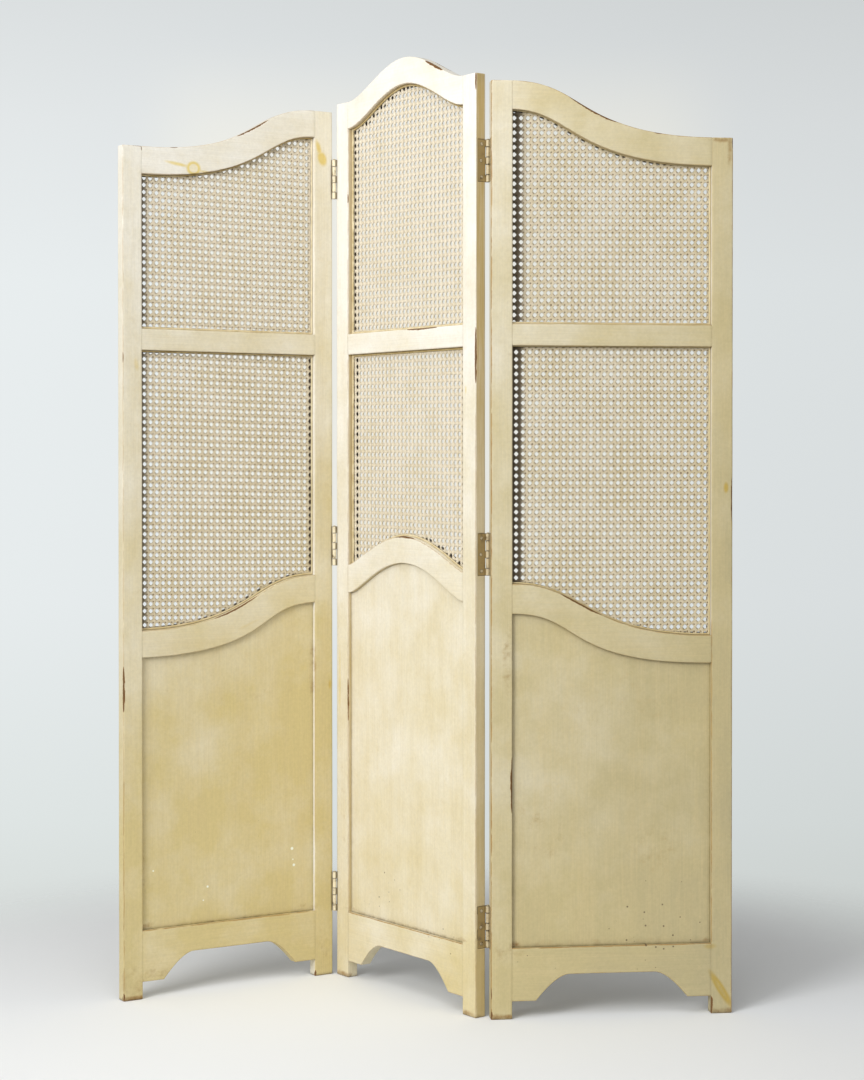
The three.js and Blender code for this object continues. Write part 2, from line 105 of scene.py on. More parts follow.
# ---- Wear, as a maker would mark it on a drawing ----
# Arrises rubbed through to the wood: (edge, from, to, width) along each member
RUBBED = {
    "left_outer_stile": [("front_low", 535, 618, 2.6), ("front_low", 1180, 1200, 1.0),
                         ("front_high", 1572, 1580, 2.0), ("front_low", 0, 14, 2.4)],
    "left_hinge_stile": [("front_low", 0, 10, 2.2), ("front_high", 930, 952, 1.0)],
    "left_top_rail": [("front_high", 236, 300, 2.6), ("front_high", 96, 112, 1.0)],
    "left_waist_rail": [("front_high", 186, 276, 2.2)],
    "centre_top_rail": [("front_high", 288, 340, 3.4), ("back_high", 280, 350, 4.0)],
    "centre_cross_rail": [("front_high", 232, 326, 2.4)],
    "centre_waist_rail": [("front_high", 192, 254, 2.2)],
    "centre_right_stile": [("front_high", 1136, 1236, 2.0), ("front_high", 1660, 1690, 1.4)],
    "centre_left_stile": [("front_high", 496, 580, 1.6), ("front_high", 1496, 1512, 1.2)],
    "right_top_rail": [("front_high", 140, 228, 3.4), ("front_high", 296, 310, 1.2)],
    "right_waist_rail": [("front_high", 126, 200, 3.0)],
    "right_outer_stile": [("front_high", 886, 970, 2.4), ("front_low", 0, 32, 3.0),
                          ("front_high", 1560, 1580, 1.4)],
    "right_hinge_stile": [("front_high", 368, 468, 2.6), ("front_low", 0, 16, 2.4),
                          ("front_low", 36, 58, 1.4)],
}
# Arrises where the glaze has stayed as a thin line: (edge, from, to, strength)
LINED = {
    "left_outer_stile": [("front_low", -20, 1600, 0.4), ("front_low", -20, 420, 0.7)],
    "left_hinge_stile": [("front_low", 120, 660, 0.35)],
    "left_bottom_rail": [("front_high", 0, 440, 0.9), ("front_low", 0, 440, 0.5)],
    "left_waist_rail": [("front_high", 0, 440, 0.5), ("front_low", 0, 440, 0.25)],
    "left_top_rail": [("front_high", 0, 440, 0.3), ("front_low", 0, 440, 0.6)],
    "centre_top_rail": [("front_low", 0, 440, 0.5)],
    "centre_left_stile": [("front_high", 0, 1660, 0.4)],
    "centre_right_stile": [("front_high", -20, 1100, 0.45)],
    "centre_bottom_rail": [("front_high", 0, 440, 0.9), ("front_low", 0, 440, 0.4)],
    "centre_waist_rail": [("front_high", 0, 440, 0.5)],
    "right_hinge_stile": [("front_low", -20, 1700, 1.0)],
    # The right outer stile's right arris line also stands in for painted shade, where its rounded
    # corner turns from the light
    "right_outer_stile": [("front_high", -20, 1600, 0.9), ("front_low", 110, 720, 0.75)],
    "right_bottom_rail": [("front_high", 0, 440, 1.0), ("front_low", 0, 440, 0.5)],
    "right_cross_rail": [("front_high", 0, 440, 0.5), ("front_low", 0, 440, 0.4)],
    "right_waist_rail": [("front_high", 0, 440, 0.6), ("front_low", 0, 440, 0.3)],
    "right_top_rail": [("front_high", 0, 440, 0.6), ("front_low", 0, 440, 0.4)],
}
# Marks on the front: (u, z, half length, half width, turn in degrees, strength)
OCHRE = {
    "left": [(144, 1546, 12, 11, 0, 1.5), (110, 1552, 26, 3.5, -8, 0.7),
             (168, 1541, 14, 2.5, -4, 0.6), (418, 1583, 13, 9, -66, 0.95),
             (410, 1604, 15, 5, -72, 0.7), (27, 1176, 5, 12, 10, 0.4), (261, 689, 34, 3.5, 22, 0.4),
             (434, 565, 3, 9, 0, 0.6)],
    "centre": [(411, 1126, 2.5, 8, 0, 0.6), (10, 574, 4, 82, 0, 0.45)],
    "right": [(420, 44, 34, 6.5, -58, 1.1), (428, 950, 4, 9, 0, 0.95), (400, 122, 12, 5, 0, 0.5)],
}
# Brown dirt rubbed into corners and edges, given in the same way
DIRTY = {
    "left": [(46, 134, 16, 5, 8, 0.55), (392, 137, 20, 6, -6, 0.35), (42, 240, 4, 90, 0, 0.3),
             (70, 44, 50, 9, 0, 0.4), (20, 4, 30, 5, 0, 0.9), (399, 600, 5, 60, 0, 0.4),
             (215, 129, 180, 3, 0, 0.25), (420, 60, 16, 60, 0, 0.2), (20, 30, 30, 40, 0, 0.3),
             (220, 560, 180, 30, 0, 0.12)],
    "centre": [(44, 134, 18, 4, 0, 0.5), (394, 134, 18, 4, 0, 0.5), (20, 5, 30, 5, 0, 0.8),
               (20, 330, 16, 200, 0, 0.15), (420, 5, 24, 5, 0, 0.8), (215, 130, 180, 3, 0, 0.35)],
    "right": [(44, 132, 12, 5, 0, 0.7), (50, 118, 16, 8, 4, 0.3), (398, 132, 9, 4, 0, 0.5),
              (215, 133, 190, 9, 0, 0.2), (22, 5, 30, 5, 0, 0.9), (424, 5, 24, 5, 0, 0.8),
              (30, 640, 9, 60, 0, 0.35), (24, 122, 20, 16, 0, 0.35), (92, 1190, 60, 14, 0, 0.3),
              (414, 1576, 22, 4, 0, 0.7), (434, 1560, 4, 34, 0, 0.6), (398, 700, 6, 12, 0, 0.4),
              (100, 330, 50, 90, 20, 0.2), (300, 300, 60, 50, 0, 0.2),
              (250, 560, 150, 60, 0, 0.14)],
}
# Where flies and spray have left dark specks, given in the same way
SPECKLED = {
    "left": [(205, 300, 180, 120, 0, 0.3), (90, 60, 60, 30, 0, 0.4)],
    "centre": [(120, 190, 90, 45, 0, 0.9), (350, 120, 70, 50, 0, 0.5)],
    "right": [(300, 165, 90, 70, 30, 1.0), (300, 560, 90, 60, 0, 0.3), (75, 110, 60, 40, 0, 0.5)],
}
# Drops of white paint on the front of the left field: (u, z, radius)
DROPS = [(355, 251, 2.8), (359, 219, 2.5), (357, 230, 1.3), (175, 195, 2.0), (63, 235, 1.5),
         (166, 170, 1.3)]
DROP_WHITE = (0.86, 0.87, 0.76)
MARKED_DEPTH = 9.0  # how far behind the front face a mark on the front still shows


def srgb(code):
    """A colour written as in a paint chart, 0xRRGGBB, as the linear values that nodes take."""
    parts = [(code >> shift & 255) / 255 for shift in (16, 8, 0)]
    return tuple(c / 12.92 if c <= 0.04045 else ((c + 0.055) / 1.055) ** 2.4 for c in parts)


# ---- Panels ----


def bezier(points, t):
    a, b, c, d = points
    s = 1 - t
    return s**3 * a + 3 * s * s * t * b + 3 * s * t * t * c + t**3 * d


def curve_table(name, edge):
    """Reach and height along a curved rail's upper or lower edge, from its low end."""
    low, rise, depths, upper_pulls, lower_pulls = CURVED_RAILS[name]
    pulls = upper_pulls if edge == "upper" else lower_pulls
    drop = (0, 0) if edge == "upper" else depths
    run = OPENING / 2 if name.startswith("centre") else OPENING
    start, end = low - drop[0], low + rise - drop[1]
    t = np.linspace(0, 1, 121)
    reach = bezier((0, pulls[0] * run, run - pulls[1] * run, run), t)
    height = bezier((start, start, end, end), t)
    if run < OPENING:
        reach = np.concatenate([reach, OPENING - reach[-2::-1]])
        height = np.concatenate([height, height[-2::-1]])
    return reach, height


def apron(reach):
    """The bottom rail's lower edge: flat beside the stiles, with a scalloped arch between."""
    t = np.linspace(0, 1, 40)
    s = 1 - t
    crown = FOOT_HEIGHT + APRON["rise"]
    x = s * s * APRON["flat"] + 2 * s * t * APRON["shoulder"] + t * t * APRON["level"]
    y = s * s * FOOT_HEIGHT + (1 - s * s) * crown
    return np.interp(np.minimum(reach, OPENING - reach), x, y)


class Panel:
    """One panel of the screen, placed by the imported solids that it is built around."""

    def __init__(self, name, body, low_right, stiles):
        self.name, self.body, self.low_right, self.stiles = name, body, low_right, stiles
        field = self.plan(f"{name}_plywood_field")
        across = np.linalg.svd(field - field.mean(0), full_matrices=False)[2][0]
        self.across = across if across[0] > 0 else -across
        self.depth = np.array([-self.across[1], self.across[0]])
        posts = np.vstack([self.plan(stile) for stile, _, _ in stiles])
        self.corner = (
            (posts @ self.across).min() * self.across + (posts @ self.depth).min() * self.depth
        )
        kind = "centre" if name == "centre" else "side"
        self.rails = {
            "top": (self.edge(f"{kind}_top", "lower"), self.edge(f"{kind}_top", "upper")),
            "cross": tuple(self.level(z) for z in CROSS_RAIL),
            "waist": (self.edge(f"{kind}_waist", "lower"), self.edge(f"{kind}_waist", "upper")),
            "bottom": (lambda u: apron(self.reach(u)), self.level(BOTTOM_RAIL_TOP)),
        }
        self.openings = {
            "upper": (self.rails["cross"][1], self.rails["top"][0]),
            "middle": (self.rails["waist"][1], self.rails["cross"][0]),
        }

    @staticmethod
    def plan(node):
        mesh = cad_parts[node].data
        points = np.empty(len(mesh.vertices) * 3)
        mesh.vertices.foreach_get("co", points)
        return points.reshape(-1, 3)[:, :2]

    def reach(self, u):
        u = np.asarray(u, float)
        return PANEL_WIDTH - STILE_WIDTH - u if self.low_right else u - STILE_WIDTH

    def edge(self, curve, side):
        table = curve_table(curve, side)
        return lambda u: np.interp(self.reach(u), *table)

    @staticmethod
    def level(z):
        return lambda u: np.full(np.shape(u), float(z))

    def place(self, points):
        """Points of (u, n, z) in millimetres, in the model's frame in metres."""
        points = np.asarray(points, float)
        out = np.empty_like(points)
        out[:, :2] = (
            self.corner
            + np.outer(points[:, 0] * MM, self.across)
            + np.outer(points[:, 1] * MM, self.depth)
        )
        out[:, 2] = points[:, 2] * MM
        return out

    def local(self, points):
        """The same turned round: metres in the model's frame to (u, n, z) in millimetres."""
        flat = points[:, :2] - self.corner
        return np.column_stack([flat @ self.across, flat @ self.depth, points[:, 2]]) / MM

    @property
    def turn(self):
        return math.atan2(self.across[1], self.across[0])


PANELS = {
    "left": Panel("left", "left_panel", False, [
        ("left_outer_stile", "left", SIDE_STILE_HEIGHTS[0]),
        ("left_hinge_stile", "right", SIDE_STILE_HEIGHTS[1]),
    ]),
    "centre": Panel("centre", "centre_panel", False, [
        ("centre_left_stile", "left", CENTRE_STILE_HEIGHT),
        ("centre_right_stile", "right", CENTRE_STILE_HEIGHT),
    ]),
    "right": Panel("right", "right_panel", True, [
        ("right_hinge_stile", "left", SIDE_STILE_HEIGHTS[1]),
        ("right_outer_stile", "right", SIDE_STILE_HEIGHTS[0]),
    ]),
}
# Which face and edge of a panel each fold's hinges are on
LEAVES = [
    ("left_fold", "centre_leaf", "centre", "front", "left"),
    ("left_fold", "side_leaf", "left", "front", "right"),
    ("right_fold", "centre_leaf", "centre", "back", "right"),
    ("right_fold", "side_leaf", "right", "back", "left"),
]


# ---- Meshes ----


class Shell:
    """Points and faces gathered for one mesh, with the values that its material reads."""

    def __init__(self):
        self.parts, self.faces, self.given = [], [], {}

    def add(self, points, faces, **values):
        first = sum(map(len, self.parts))
        self.faces += [[i + first for i in face] for face in faces]
        for key, value in values.items():
            value = np.asarray(value, float)
            value = value if value.ndim else np.full(len(points), value)
            self.given.setdefault(key, {})[len(self.parts)] = value
        self.parts.append(np.asarray(points, float))

    @property
    def local(self):
        return np.vstack(self.parts)

    def value(self, key):
        """A value at every point, which is nought on the parts that were added without it."""
        blocks = self.given.get(key, {})
        width = next((block.shape[1:] for block in blocks.values()), ())
        return np.concatenate([blocks.get(index, np.zeros((len(part), *width)))
                               for index, part in enumerate(self.parts)])

    def object(self, name, panel, **whole):
        """The mesh as an object in the panel's place; whole holds values for all its points."""
        mesh = bpy.data.meshes.new(name)
        mesh.from_pydata(panel.place(self.local).tolist(), [], self.faces)
        values = {key: self.value(key) for key in self.given} | whole
        for key, value in (values | {"board": self.local * MM}).items():
            set_values(mesh, key, value)
        mesh.polygons.foreach_set("use_smooth", [True] * len(mesh.polygons))
        mesh.update()
        return link_object(name, mesh)


def link_object(name, mesh):
    made = bpy.data.objects.new(name, mesh)
    bpy.context.scene.collection.objects.link(made)
    return made


def plain_object(name, points, faces=(), **values):
    """A mesh straight from points in metres, such as a tree works on or repeats."""
    mesh = bpy.data.meshes.new(name)
    mesh.from_pydata(np.asarray(points).tolist(), [], list(faces))
    for key, value in values.items():
        set_values(mesh, key, np.asarray(value, float))
    return link_object(name, mesh)


def set_values(mesh, key, values):
    flat = values.ndim == 1
    kind, field = ("FLOAT", "value") if flat else ("FLOAT_VECTOR", "vector")
    attribute = mesh.attributes.get(key) or mesh.attributes.new(key, kind, "POINT")
    attribute.data.foreach_set(field, values.astype(np.float32).ravel())


def tube_faces(stations, around, closed=False, flipped=False):
    """Quads between rings of points, one ring after another, with flat ends."""
    ring = np.arange(around)
    following = np.roll(ring, -1)
    faces = []
    for s in range(stations if closed else stations - 1):
        a, b = s * around, ((s + 1) % stations) * around
        faces += np.column_stack([a + ring, a + following, b + following, b + ring]).tolist()
    if not closed:
        faces += [ring[::-1].tolist(), ((stations - 1) * around + ring).tolist()]
    return [face[::-1] for face in faces] if flipped else faces


def waves(seed, x, size):
    """Smooth wandering values about zero, the same each run."""
    random = np.random.default_rng(seed)
    total = np.zeros(np.shape(x))
    for layer in range(4):
        scale = size / 1.9**layer
        total += np.sin(x / scale * math.tau + random.uniform(0, math.tau)) / 1.6**layer
    return total / 2.2


ARC = 3  # steps round one rounded arris
CORNERS = ("front_low", "front_high", "back_high", "back_low")


def ring_layout(across_rows, depth_rows):
    """Where each point of a section's ring sits: (corner, share of its arc) or (side, share)."""
    layout = []
    for corner, rows in enumerate((across_rows, depth_rows, across_rows, depth_rows)):
        layout += [("arc", corner, step / ARC) for step in range(ARC + 1)]
        shares = rows if np.ndim(rows) else [row / (rows + 1) for row in range(1, rows + 1)]
        if corner >= 2 and np.ndim(rows):
            shares = [1 - share for share in reversed(shares)]
        layout += [("side", corner, share) for share in shares]
    return layout


def ring_points(layout, low, high, front, back, radii):
    """Section points for every station: across and depth, distance to the arris, and corner."""
    centres = [
        (low + radii[0], front + radii[0]), (high - radii[1], front + radii[1]),
        (high - radii[2], back - radii[2]), (low + radii[3], back - radii[3]),
    ]

    def arc(corner, share):
        angle = (corner - 2 + share) * math.pi / 2
        x, y = centres[corner]
        return x + radii[corner] * math.cos(angle), y + radii[corner] * math.sin(angle)

    points = []
    for kind, corner, share in layout:
        if kind == "arc":
            nearest = corner
            x, y = arc(corner, share)
            gap = abs(share - 0.5) * radii[corner] * math.pi / 2
        else:
            following = (corner + 1) % 4
            nearest = corner if share < 0.5 else following
            (x0, y0), (x1, y1) = arc(corner, 1), arc(following, 0)
            x, y = x0 + (x1 - x0) * share, y0 + (y1 - y0) * share
            gap = min(share, 1 - share) * np.hypot(x1 - x0, y1 - y0) + radii[nearest] * math.pi / 4
        points.append((x, y, gap, nearest))
    *stacks, nearest = zip(*points)
    return (*(np.stack(values, 1) for values in stacks), np.array(nearest))


def end_stations(start, end, pitch, extra=(), round_end=1.6):
    """Stations along a member, closer together at its rounded ends, and how far each draws in."""
    near = np.array([0, 0.15, 0.5, 1.0]) * round_end
    middle = np.arange(start + pitch, end - pitch * 0.5, pitch)
    along = np.unique(np.round(np.concatenate([start + near, middle, end - near, extra]), 3))
    along = along[(along >= start) & (along <= end)]
    gap = np.minimum(along - start, end - along)
    share = np.clip(1 - gap / round_end, 0, 1)
    return along, round_end * (1 - np.sqrt(1 - share**2)) * 0.9


def rubbed_width(name, corner, along):
    """How far an arris is worn back along a member, in millimetres."""
    width = np.zeros(len(along))
    for edge, start, end, depth in RUBBED.get(name, []):
        if edge == CORNERS[corner]:
            share = np.clip(1 - ((along - (start + end) / 2) / ((end - start) / 2)) ** 2, 0, 1)
            width = np.maximum(width, depth * np.sqrt(share))
    return width


def lined(name, corner, along):
    """How strongly the glaze shows as a line along an arris."""
    strength = np.full(len(along), 0.12)
    for edge, start, end, amount in LINED.get(name, []):
        if edge == CORNERS[corner]:
            inside = np.clip(np.minimum(along - start, end - along) / 20, 0, 1)
            strength = np.maximum(strength, amount * inside)
    return strength


def member(shell, seed, name, along, draw, low, high, rows, lengthwise, front=0.0, back=THICKNESS,
           radius=1.4, hinge_cut=None, crisp=None, square_ends=False, more=None):
    """Adds one wooden bar: a rounded section carried along stations, with its worn arrises.

    lengthwise says which of (u, z) the stations run along: "z" for a stile, "u" for a rail. more
    gives further values from the points.
    """
    low, high, front, back = (side + 0 * along for side in (low, high, front, back))
    widths = [rubbed_width(name, corner, along) for corner in range(4)]
    radii = [
        np.clip(radius * (1 + 0.28 * waves(seed + corner, along, 240)), 0.35, None)
        + 0.45 * widths[corner]
        for corner in range(4)
    ]
    for corner, share in (crisp or {}).items():
        radii[corner] = radii[corner] * (1 - share) + 0.3 * share
    across, depth, distance, nearest = ring_points(
        ring_layout(*rows), low + draw, high - draw, front + draw, back - draw, radii
    )
    uneven = 0.1 * waves(seed + 7, along, 330)[:, None]
    middle = (low + high)[:, None] / 2
    across = across + uneven * np.sign(across - middle) * 0.5
    if hinge_cut is not None:
        across = hinge_cut(along, across, depth)
    length = np.repeat(along[:, None], across.shape[1], 1)
    if not square_ends:
        ends = np.minimum(along - along[0], along[-1] - along)[:, None]
        distance = np.minimum(distance, ends + 0.4)
    lens = np.stack(widths, 1)[:, nearest]
    line = np.stack([lined(name, corner, along) for corner in range(4)], 1)[:, nearest]
    u, z = (across, length) if lengthwise == "z" else (length, across)
    local = np.stack([u.ravel(), depth.ravel(), z.ravel()], 1)
    grain = np.stack([length.ravel(), across.ravel(), depth.ravel()], 1) * MM + seed * 0.37
    shell.add(local, tube_faces(*across.shape, flipped=lengthwise == "u"), grain=grain,
              arris=distance.ravel() * MM, lens=lens.ravel() * MM, line=line.ravel(),
              **front_marks(name, local), **(more(local) if more else {}))


def spots(table, local):
    """The strongest of a panel's listed patches at each point of its front."""
    strength = np.zeros(len(local))
    for u, z, long, wide, turn, amount in table:
        turn = math.radians(turn)
        du, dz = local[:, 0] - u, local[:, 2] - z
        x = (du * math.cos(turn) + dz * math.sin(turn)) / long
        y = (dz * math.cos(turn) - du * math.sin(turn)) / wide
        strength = np.maximum(strength, amount * np.clip(1.5 - np.hypot(x, y), 0, 1))
    return strength * (local[:, 1] < MARKED_DEPTH)


def front_marks(name, local):
    """Stains, dirt, specks and drops at each point, by the panel that a member belongs to."""
    side = name.split("_")[0]
    tables = {"ochre": OCHRE, "dirt": DIRTY, "specks": SPECKLED}
    marks = {key: spots(table[side], local) for key, table in tables.items()}
    return marks | {"drops": (side == "left") * (local[:, 1] < MARKED_DEPTH)}


# ---- Node trees ----


class Signal:
    """A node's output, which turns sums, differences and products into further nodes."""

    def __init__(self, tree, socket):
        self.tree, self.socket = tree, socket

    def __add__(self, other):
        return self.tree.math("ADD", self, other)

    def __sub__(self, other):
        return self.tree.math("SUBTRACT", self, other)

    def __mul__(self, other):
        return self.tree.math("MULTIPLY", self, other)

    def clamped(self):
        self.socket.node.use_clamp = True
        return self


class Nodes:
    """A node tree under construction. Text given to a colour socket names one of the settings."""

    def __init__(self, tree):
        self.tree = tree
        tree.nodes.clear()

    def feed(self, socket, value):
        if isinstance(value, Signal):
            value = value.socket
        if isinstance(value, bpy.types.NodeSocket):
            self.tree.links.new(value, socket)
            return
        if socket.type == "RGBA":
            if isinstance(value, str):
                value = getattr(bpy.context.scene.screen_colours, value)
            value = (*value, 1)[:4]
        socket.default_value = value

    def node(self, kind, inputs=None, **settings):
        made = self.tree.nodes.new(kind)
        for key, value in settings.items():
            setattr(made, key, value)
        for key, value in (inputs or {}).items():
            self.feed(made.inputs[key], value)
        return made

    def out(self, kind, inputs=None, output=0, **settings):
        return Signal(self, self.node(kind, inputs, **settings).outputs[output])

    def math(self, operation, a, b=0.0):
        return self.out("ShaderNodeMath", {0: a, 1: b}, operation=operation)

    def vectors(self, operation, a, b=(0, 0, 0)):
        output = "Value" if operation in {"DISTANCE", "LENGTH", "DOT_PRODUCT"} else "Vector"
        return self.out("ShaderNodeVectorMath", {0: a, 1: b}, output, operation=operation)

    def resized(self, vector, scale):
        return self.out("ShaderNodeVectorMath", {0: vector, "Scale": scale}, operation="SCALE")

    def value(self, name, output="Fac"):
        return self.out("ShaderNodeAttribute", output=output, attribute_name=name)

    def vector(self, name):
        return self.value(name, "Vector")

    def place(self):
        return self.out("ShaderNodeTexCoord", output="Object")

    def noise(self, vector, scale, detail=3.0, roughness=0.55):
        return self.out("ShaderNodeTexNoise", {
            "Vector": vector, "Scale": scale, "Detail": detail, "Roughness": roughness}, "Fac")

    def fibres(self, vector, along, across, detail=3.0, roughness=0.55):
        """Noise drawn out along the first of three axes."""
        stretched = self.vectors("MULTIPLY", vector, (along, across, across))
        return self.noise(stretched, 1, detail, roughness)

    def between(self, value, low, high, out_low=0.0, out_high=1.0):
        return self.out("ShaderNodeMapRange", {
            "Value": value, "From Min": low, "From Max": high, "To Min": out_low,
            "To Max": out_high}, "Result", interpolation_type="SMOOTHSTEP")

    def mix(self, share, a, b, blend="MIX"):
        return self.out("ShaderNodeMix", {0: share, 6: a, 7: b}, 2, data_type="RGBA",
                        blend_type=blend)

    def bump(self, height, distance, strength):
        return self.out("ShaderNodeBump", {
            "Height": height, "Distance": distance, "Strength": strength}, "Normal")

    def finish(self, **inputs):
        """Ends a material with the shader that takes these inputs."""
        shader = self.out("ShaderNodeBsdfPrincipled", {
            key.replace("_", " ").title(): value for key, value in inputs.items()})
        self.node("ShaderNodeOutputMaterial", {"Surface": shader})


class GeometryTree(Nodes):
    """A Geometry Nodes tree with named inputs, of which the last is the material."""

    def __init__(self, name, **inputs):
        super().__init__(bpy.data.node_groups.new(name, "GeometryNodeTree"))
        sockets = self.tree.interface
        for title, kind in {"Geometry": "Geometry", **inputs, "Material": "Material"}.items():
            sockets.new_socket(title.replace("_", " "), in_out="INPUT",
                               socket_type=f"NodeSocket{kind}")
        sockets.new_socket("Geometry", in_out="OUTPUT", socket_type="NodeSocketGeometry")
        self.inputs = self.node("NodeGroupInput").outputs

    def copies(self, pattern, rotation):
        """A copy of the pattern object on each of the points that the tree is given."""
        copied = self.node("GeometryNodeObjectInfo", {"Object": self.inputs[pattern]})
        return self.out("GeometryNodeInstanceOnPoints", {
            "Points": self.inputs["Geometry"], "Instance": copied.outputs["Geometry"],
            "Rotation": rotation})

    def real(self, instances):
        return self.out("GeometryNodeRealizeInstances", {"Geometry": instances})

    def close(self, geometry):
        done = self.out("GeometryNodeSetMaterial", {
            "Geometry": geometry, "Material": self.inputs["Material"]})
        self.node("NodeGroupOutput", {0: done})
        return self.tree


def run_tree(made, group, **values):
    """Runs a tree on an object and leaves the plain mesh that it makes."""
    modifier = made.modifiers.new("build", "NODES")
    modifier.node_group = group
    for item in group.interface.items_tree:
        key = item.name.replace(" ", "_")
        if item.in_out == "INPUT" and key in values:
            modifier[item.identifier] = values[key]
    graph = bpy.context.evaluated_depsgraph_get()
    graph.update()
    mesh = bpy.data.meshes.new_from_object(made.evaluated_get(graph), depsgraph=graph)
    made.modifiers.clear()
    made.data = mesh
    mesh.name = made.name
    mesh.polygons.foreach_set("use_smooth", [True] * len(mesh.polygons))


# ---- Materials ----


def worn_paint(f):
    """Antique cream paint: softly brushed and mottled, glazed in its corners and rubbed through
    on its arrises, over a brown wood."""
    grain, place = f.vector("grain"), f.place()
    brushed = f.fibres(grain, 9, 300, 4, 0.6)
    clouds = f.noise(place, 9, 5, 0.62)
    grime = f.noise(place, 55, 5, 0.7)

    # Yellowed and greyed in patches, which also carry painted light and shade, with a brown wash in
    # the brush marks and in the grime
    patches = (clouds - 0.5) * 0.9 + (f.noise(place, 3.4, 2) - 0.5) * 0.7
    age = (f.value("age") + patches).clamped()
    paint = f.mix(age, "fresh_paint", "aged_paint")
    dull = f.value("dull") + (clouds - 0.5) * 0.8 * age
    paint = f.mix(dull * f.math("GREATER_THAN", f.value("dull"), 0.001), paint, "grey_paint")
    held = f.between(age, 0.0, 1.0, 0.35, 1.0)
    streaks = brushed * 0.4 + f.fibres(grain, 3, 34) * 0.6
    for wash in (f.between(streaks, 0.4, 0.66, 0, 0.34), f.between(grime, 0.54, 0.74, 0, 0.34)):
        paint = f.mix(wash * held, paint, "glaze_wash")
    mottle = f.between(f.noise(place, 170, 4, 0.7), 0.3, 0.7, 0.955, 1.03)
    bristles = f.between(f.fibres(grain, 12, 480, 3, 0.65), 0.3, 0.7, 0.962, 1.02)
    paint = f.resized(paint, mottle * bristles)

    # Stains and dirt, with painted shade in brown on reveals that face away from the light, and
    # glaze and painted shade in corners and gaps
    ochre = f.value("ochre") + (clouds - 0.5) * 0.5
    stain = f.between(ochre, 0.1, 0.85, 0, 0.8) * f.between(ochre, 0.95, 1.35, 1, 0.35)
    paint = f.mix(stain, paint, "ochre_stain", "MULTIPLY")
    dirt = f.between(f.value("dirt") + (grime - 0.5) * 1.9, 0.1, 1.3)
    dirt = dirt * f.between(f.value("dirt"), 0.0, 0.25)
    paint = f.mix(dirt, paint, "dirt", "MULTIPLY")
    # Brown on reveals that face away from the light is painted shade; on the ridge fold's edge it
    # is browner paint
    browned = f.value("browned") * f.between(brushed, 0.3, 0.7, 0.8, 1.1)
    paint = f.mix(browned, paint, "brown_edge")
    # Dark glaze in the joints, and painted shade in the corners and along the bottoms of the feet
    dark = f.value("glaze") * f.between(grime, 0.3, 0.62, 0.45, 1)
    paint = f.mix(dark, paint, "umber_glaze")

    # Arrises: a ragged line of thin paint, and where they are rubbed through, a rim and bare wood
    arris, ragged = f.value("arris"), f.fibres(grain, 30, 420, 3, 0.6)
    width = f.between(ragged, 0.32, 0.68, 0.0002, 0.0016)
    line = f.between(width - arris, -0.0004, 0.0003)
    tint = f.mix(f.between(ragged, 0.42, 0.58), "orange_wood", "thin_paint")
    paint = f.mix(line * f.value("line"), paint, tint)
    lens = f.value("lens")
    reach = lens * f.between(f.fibres(grain, 60, 500, 3, 0.65), 0.3, 0.7, 0.5, 1.3)
    shown = f.math("GREATER_THAN", lens, 0.0002)
    rim = f.between(reach + 0.0005 - arris, 0, 0.0005) * shown
    paint = f.mix(rim, paint, "orange_wood")
    bare = f.between(reach - arris, 0, 0.0005) * shown
    wood = f.mix(f.fibres(grain, 30, 900, 2), "bare_wood", "orange_wood")
    paint = f.mix(bare, paint, wood)

    # Specks and drops, which lie on the flat of the panel
    board = f.node("ShaderNodeSeparateXYZ", {0: f.vector("board")}).outputs
    flat = f.out("ShaderNodeCombineXYZ", {"X": board["X"], "Y": board["Z"]})
    cells = f.node("ShaderNodeTexVoronoi", {"Vector": flat, "Scale": 60.0},
                   voronoi_dimensions="2D").outputs
    size = f.out("ShaderNodeSeparateColor", {0: cells["Color"]})
    size = (size - f.between(f.value("specks"), 0, 1, 1.0, 0.6)) * 0.4
    specks = f.between(f.math("MINIMUM", size, 0.1) - cells["Distance"], -0.03, 0.03)
    paint = f.mix(specks * 0.75, paint, "bare_wood")
    drops = 0.0
    for u, z, radius in DROPS:
        apart = f.vectors("DISTANCE", flat, (u * MM, z * MM, 0))
        drops = f.math("MAXIMUM", drops, f.between(apart, radius * 1.3 * MM, radius * 0.8 * MM))
    drops = drops * f.math("GREATER_THAN", f.value("drops"), 0.0)
    paint = f.mix(drops, paint, DROP_WHITE)
    # The ledge behind the cane: dark raw wood, darkened further as painted shade seen through the
    # holes
    paint = f.mix(f.value("raw"), paint, "raw_ledge")
    roughness = f.between(brushed, 0.3, 0.7, 0.4, 0.5) + bare * 0.2
    relief = brushed * 0.4 + f.noise(place, 700, 2) * 0.15 - bare * 1.5 + drops * 2.0
    f.finish(base_color=paint, roughness=roughness, normal=f.bump(relief, 0.0002, 0.5))


# Painted shade in each repeat of the weave, measured from its hole: a crescent round its lower
# left, and dark spots in the gaps by the crossings: (across, up, radius where full, radius where
# gone, strength, colour)
WEAVE_SHADE_MARKS = [
    (-0.5, -0.7, 3.4, 5.0, 1.9, "cane_glaze"),
    (4.5, 4.5, 0.8, 1.9, 2.6, "pit"),
    (-1.9, -4.4, 0.6, 1.8, 1.5, "pit"),
]
MEAN_ACROSS = 12.4  # pitch of the weave across, over all six sheets


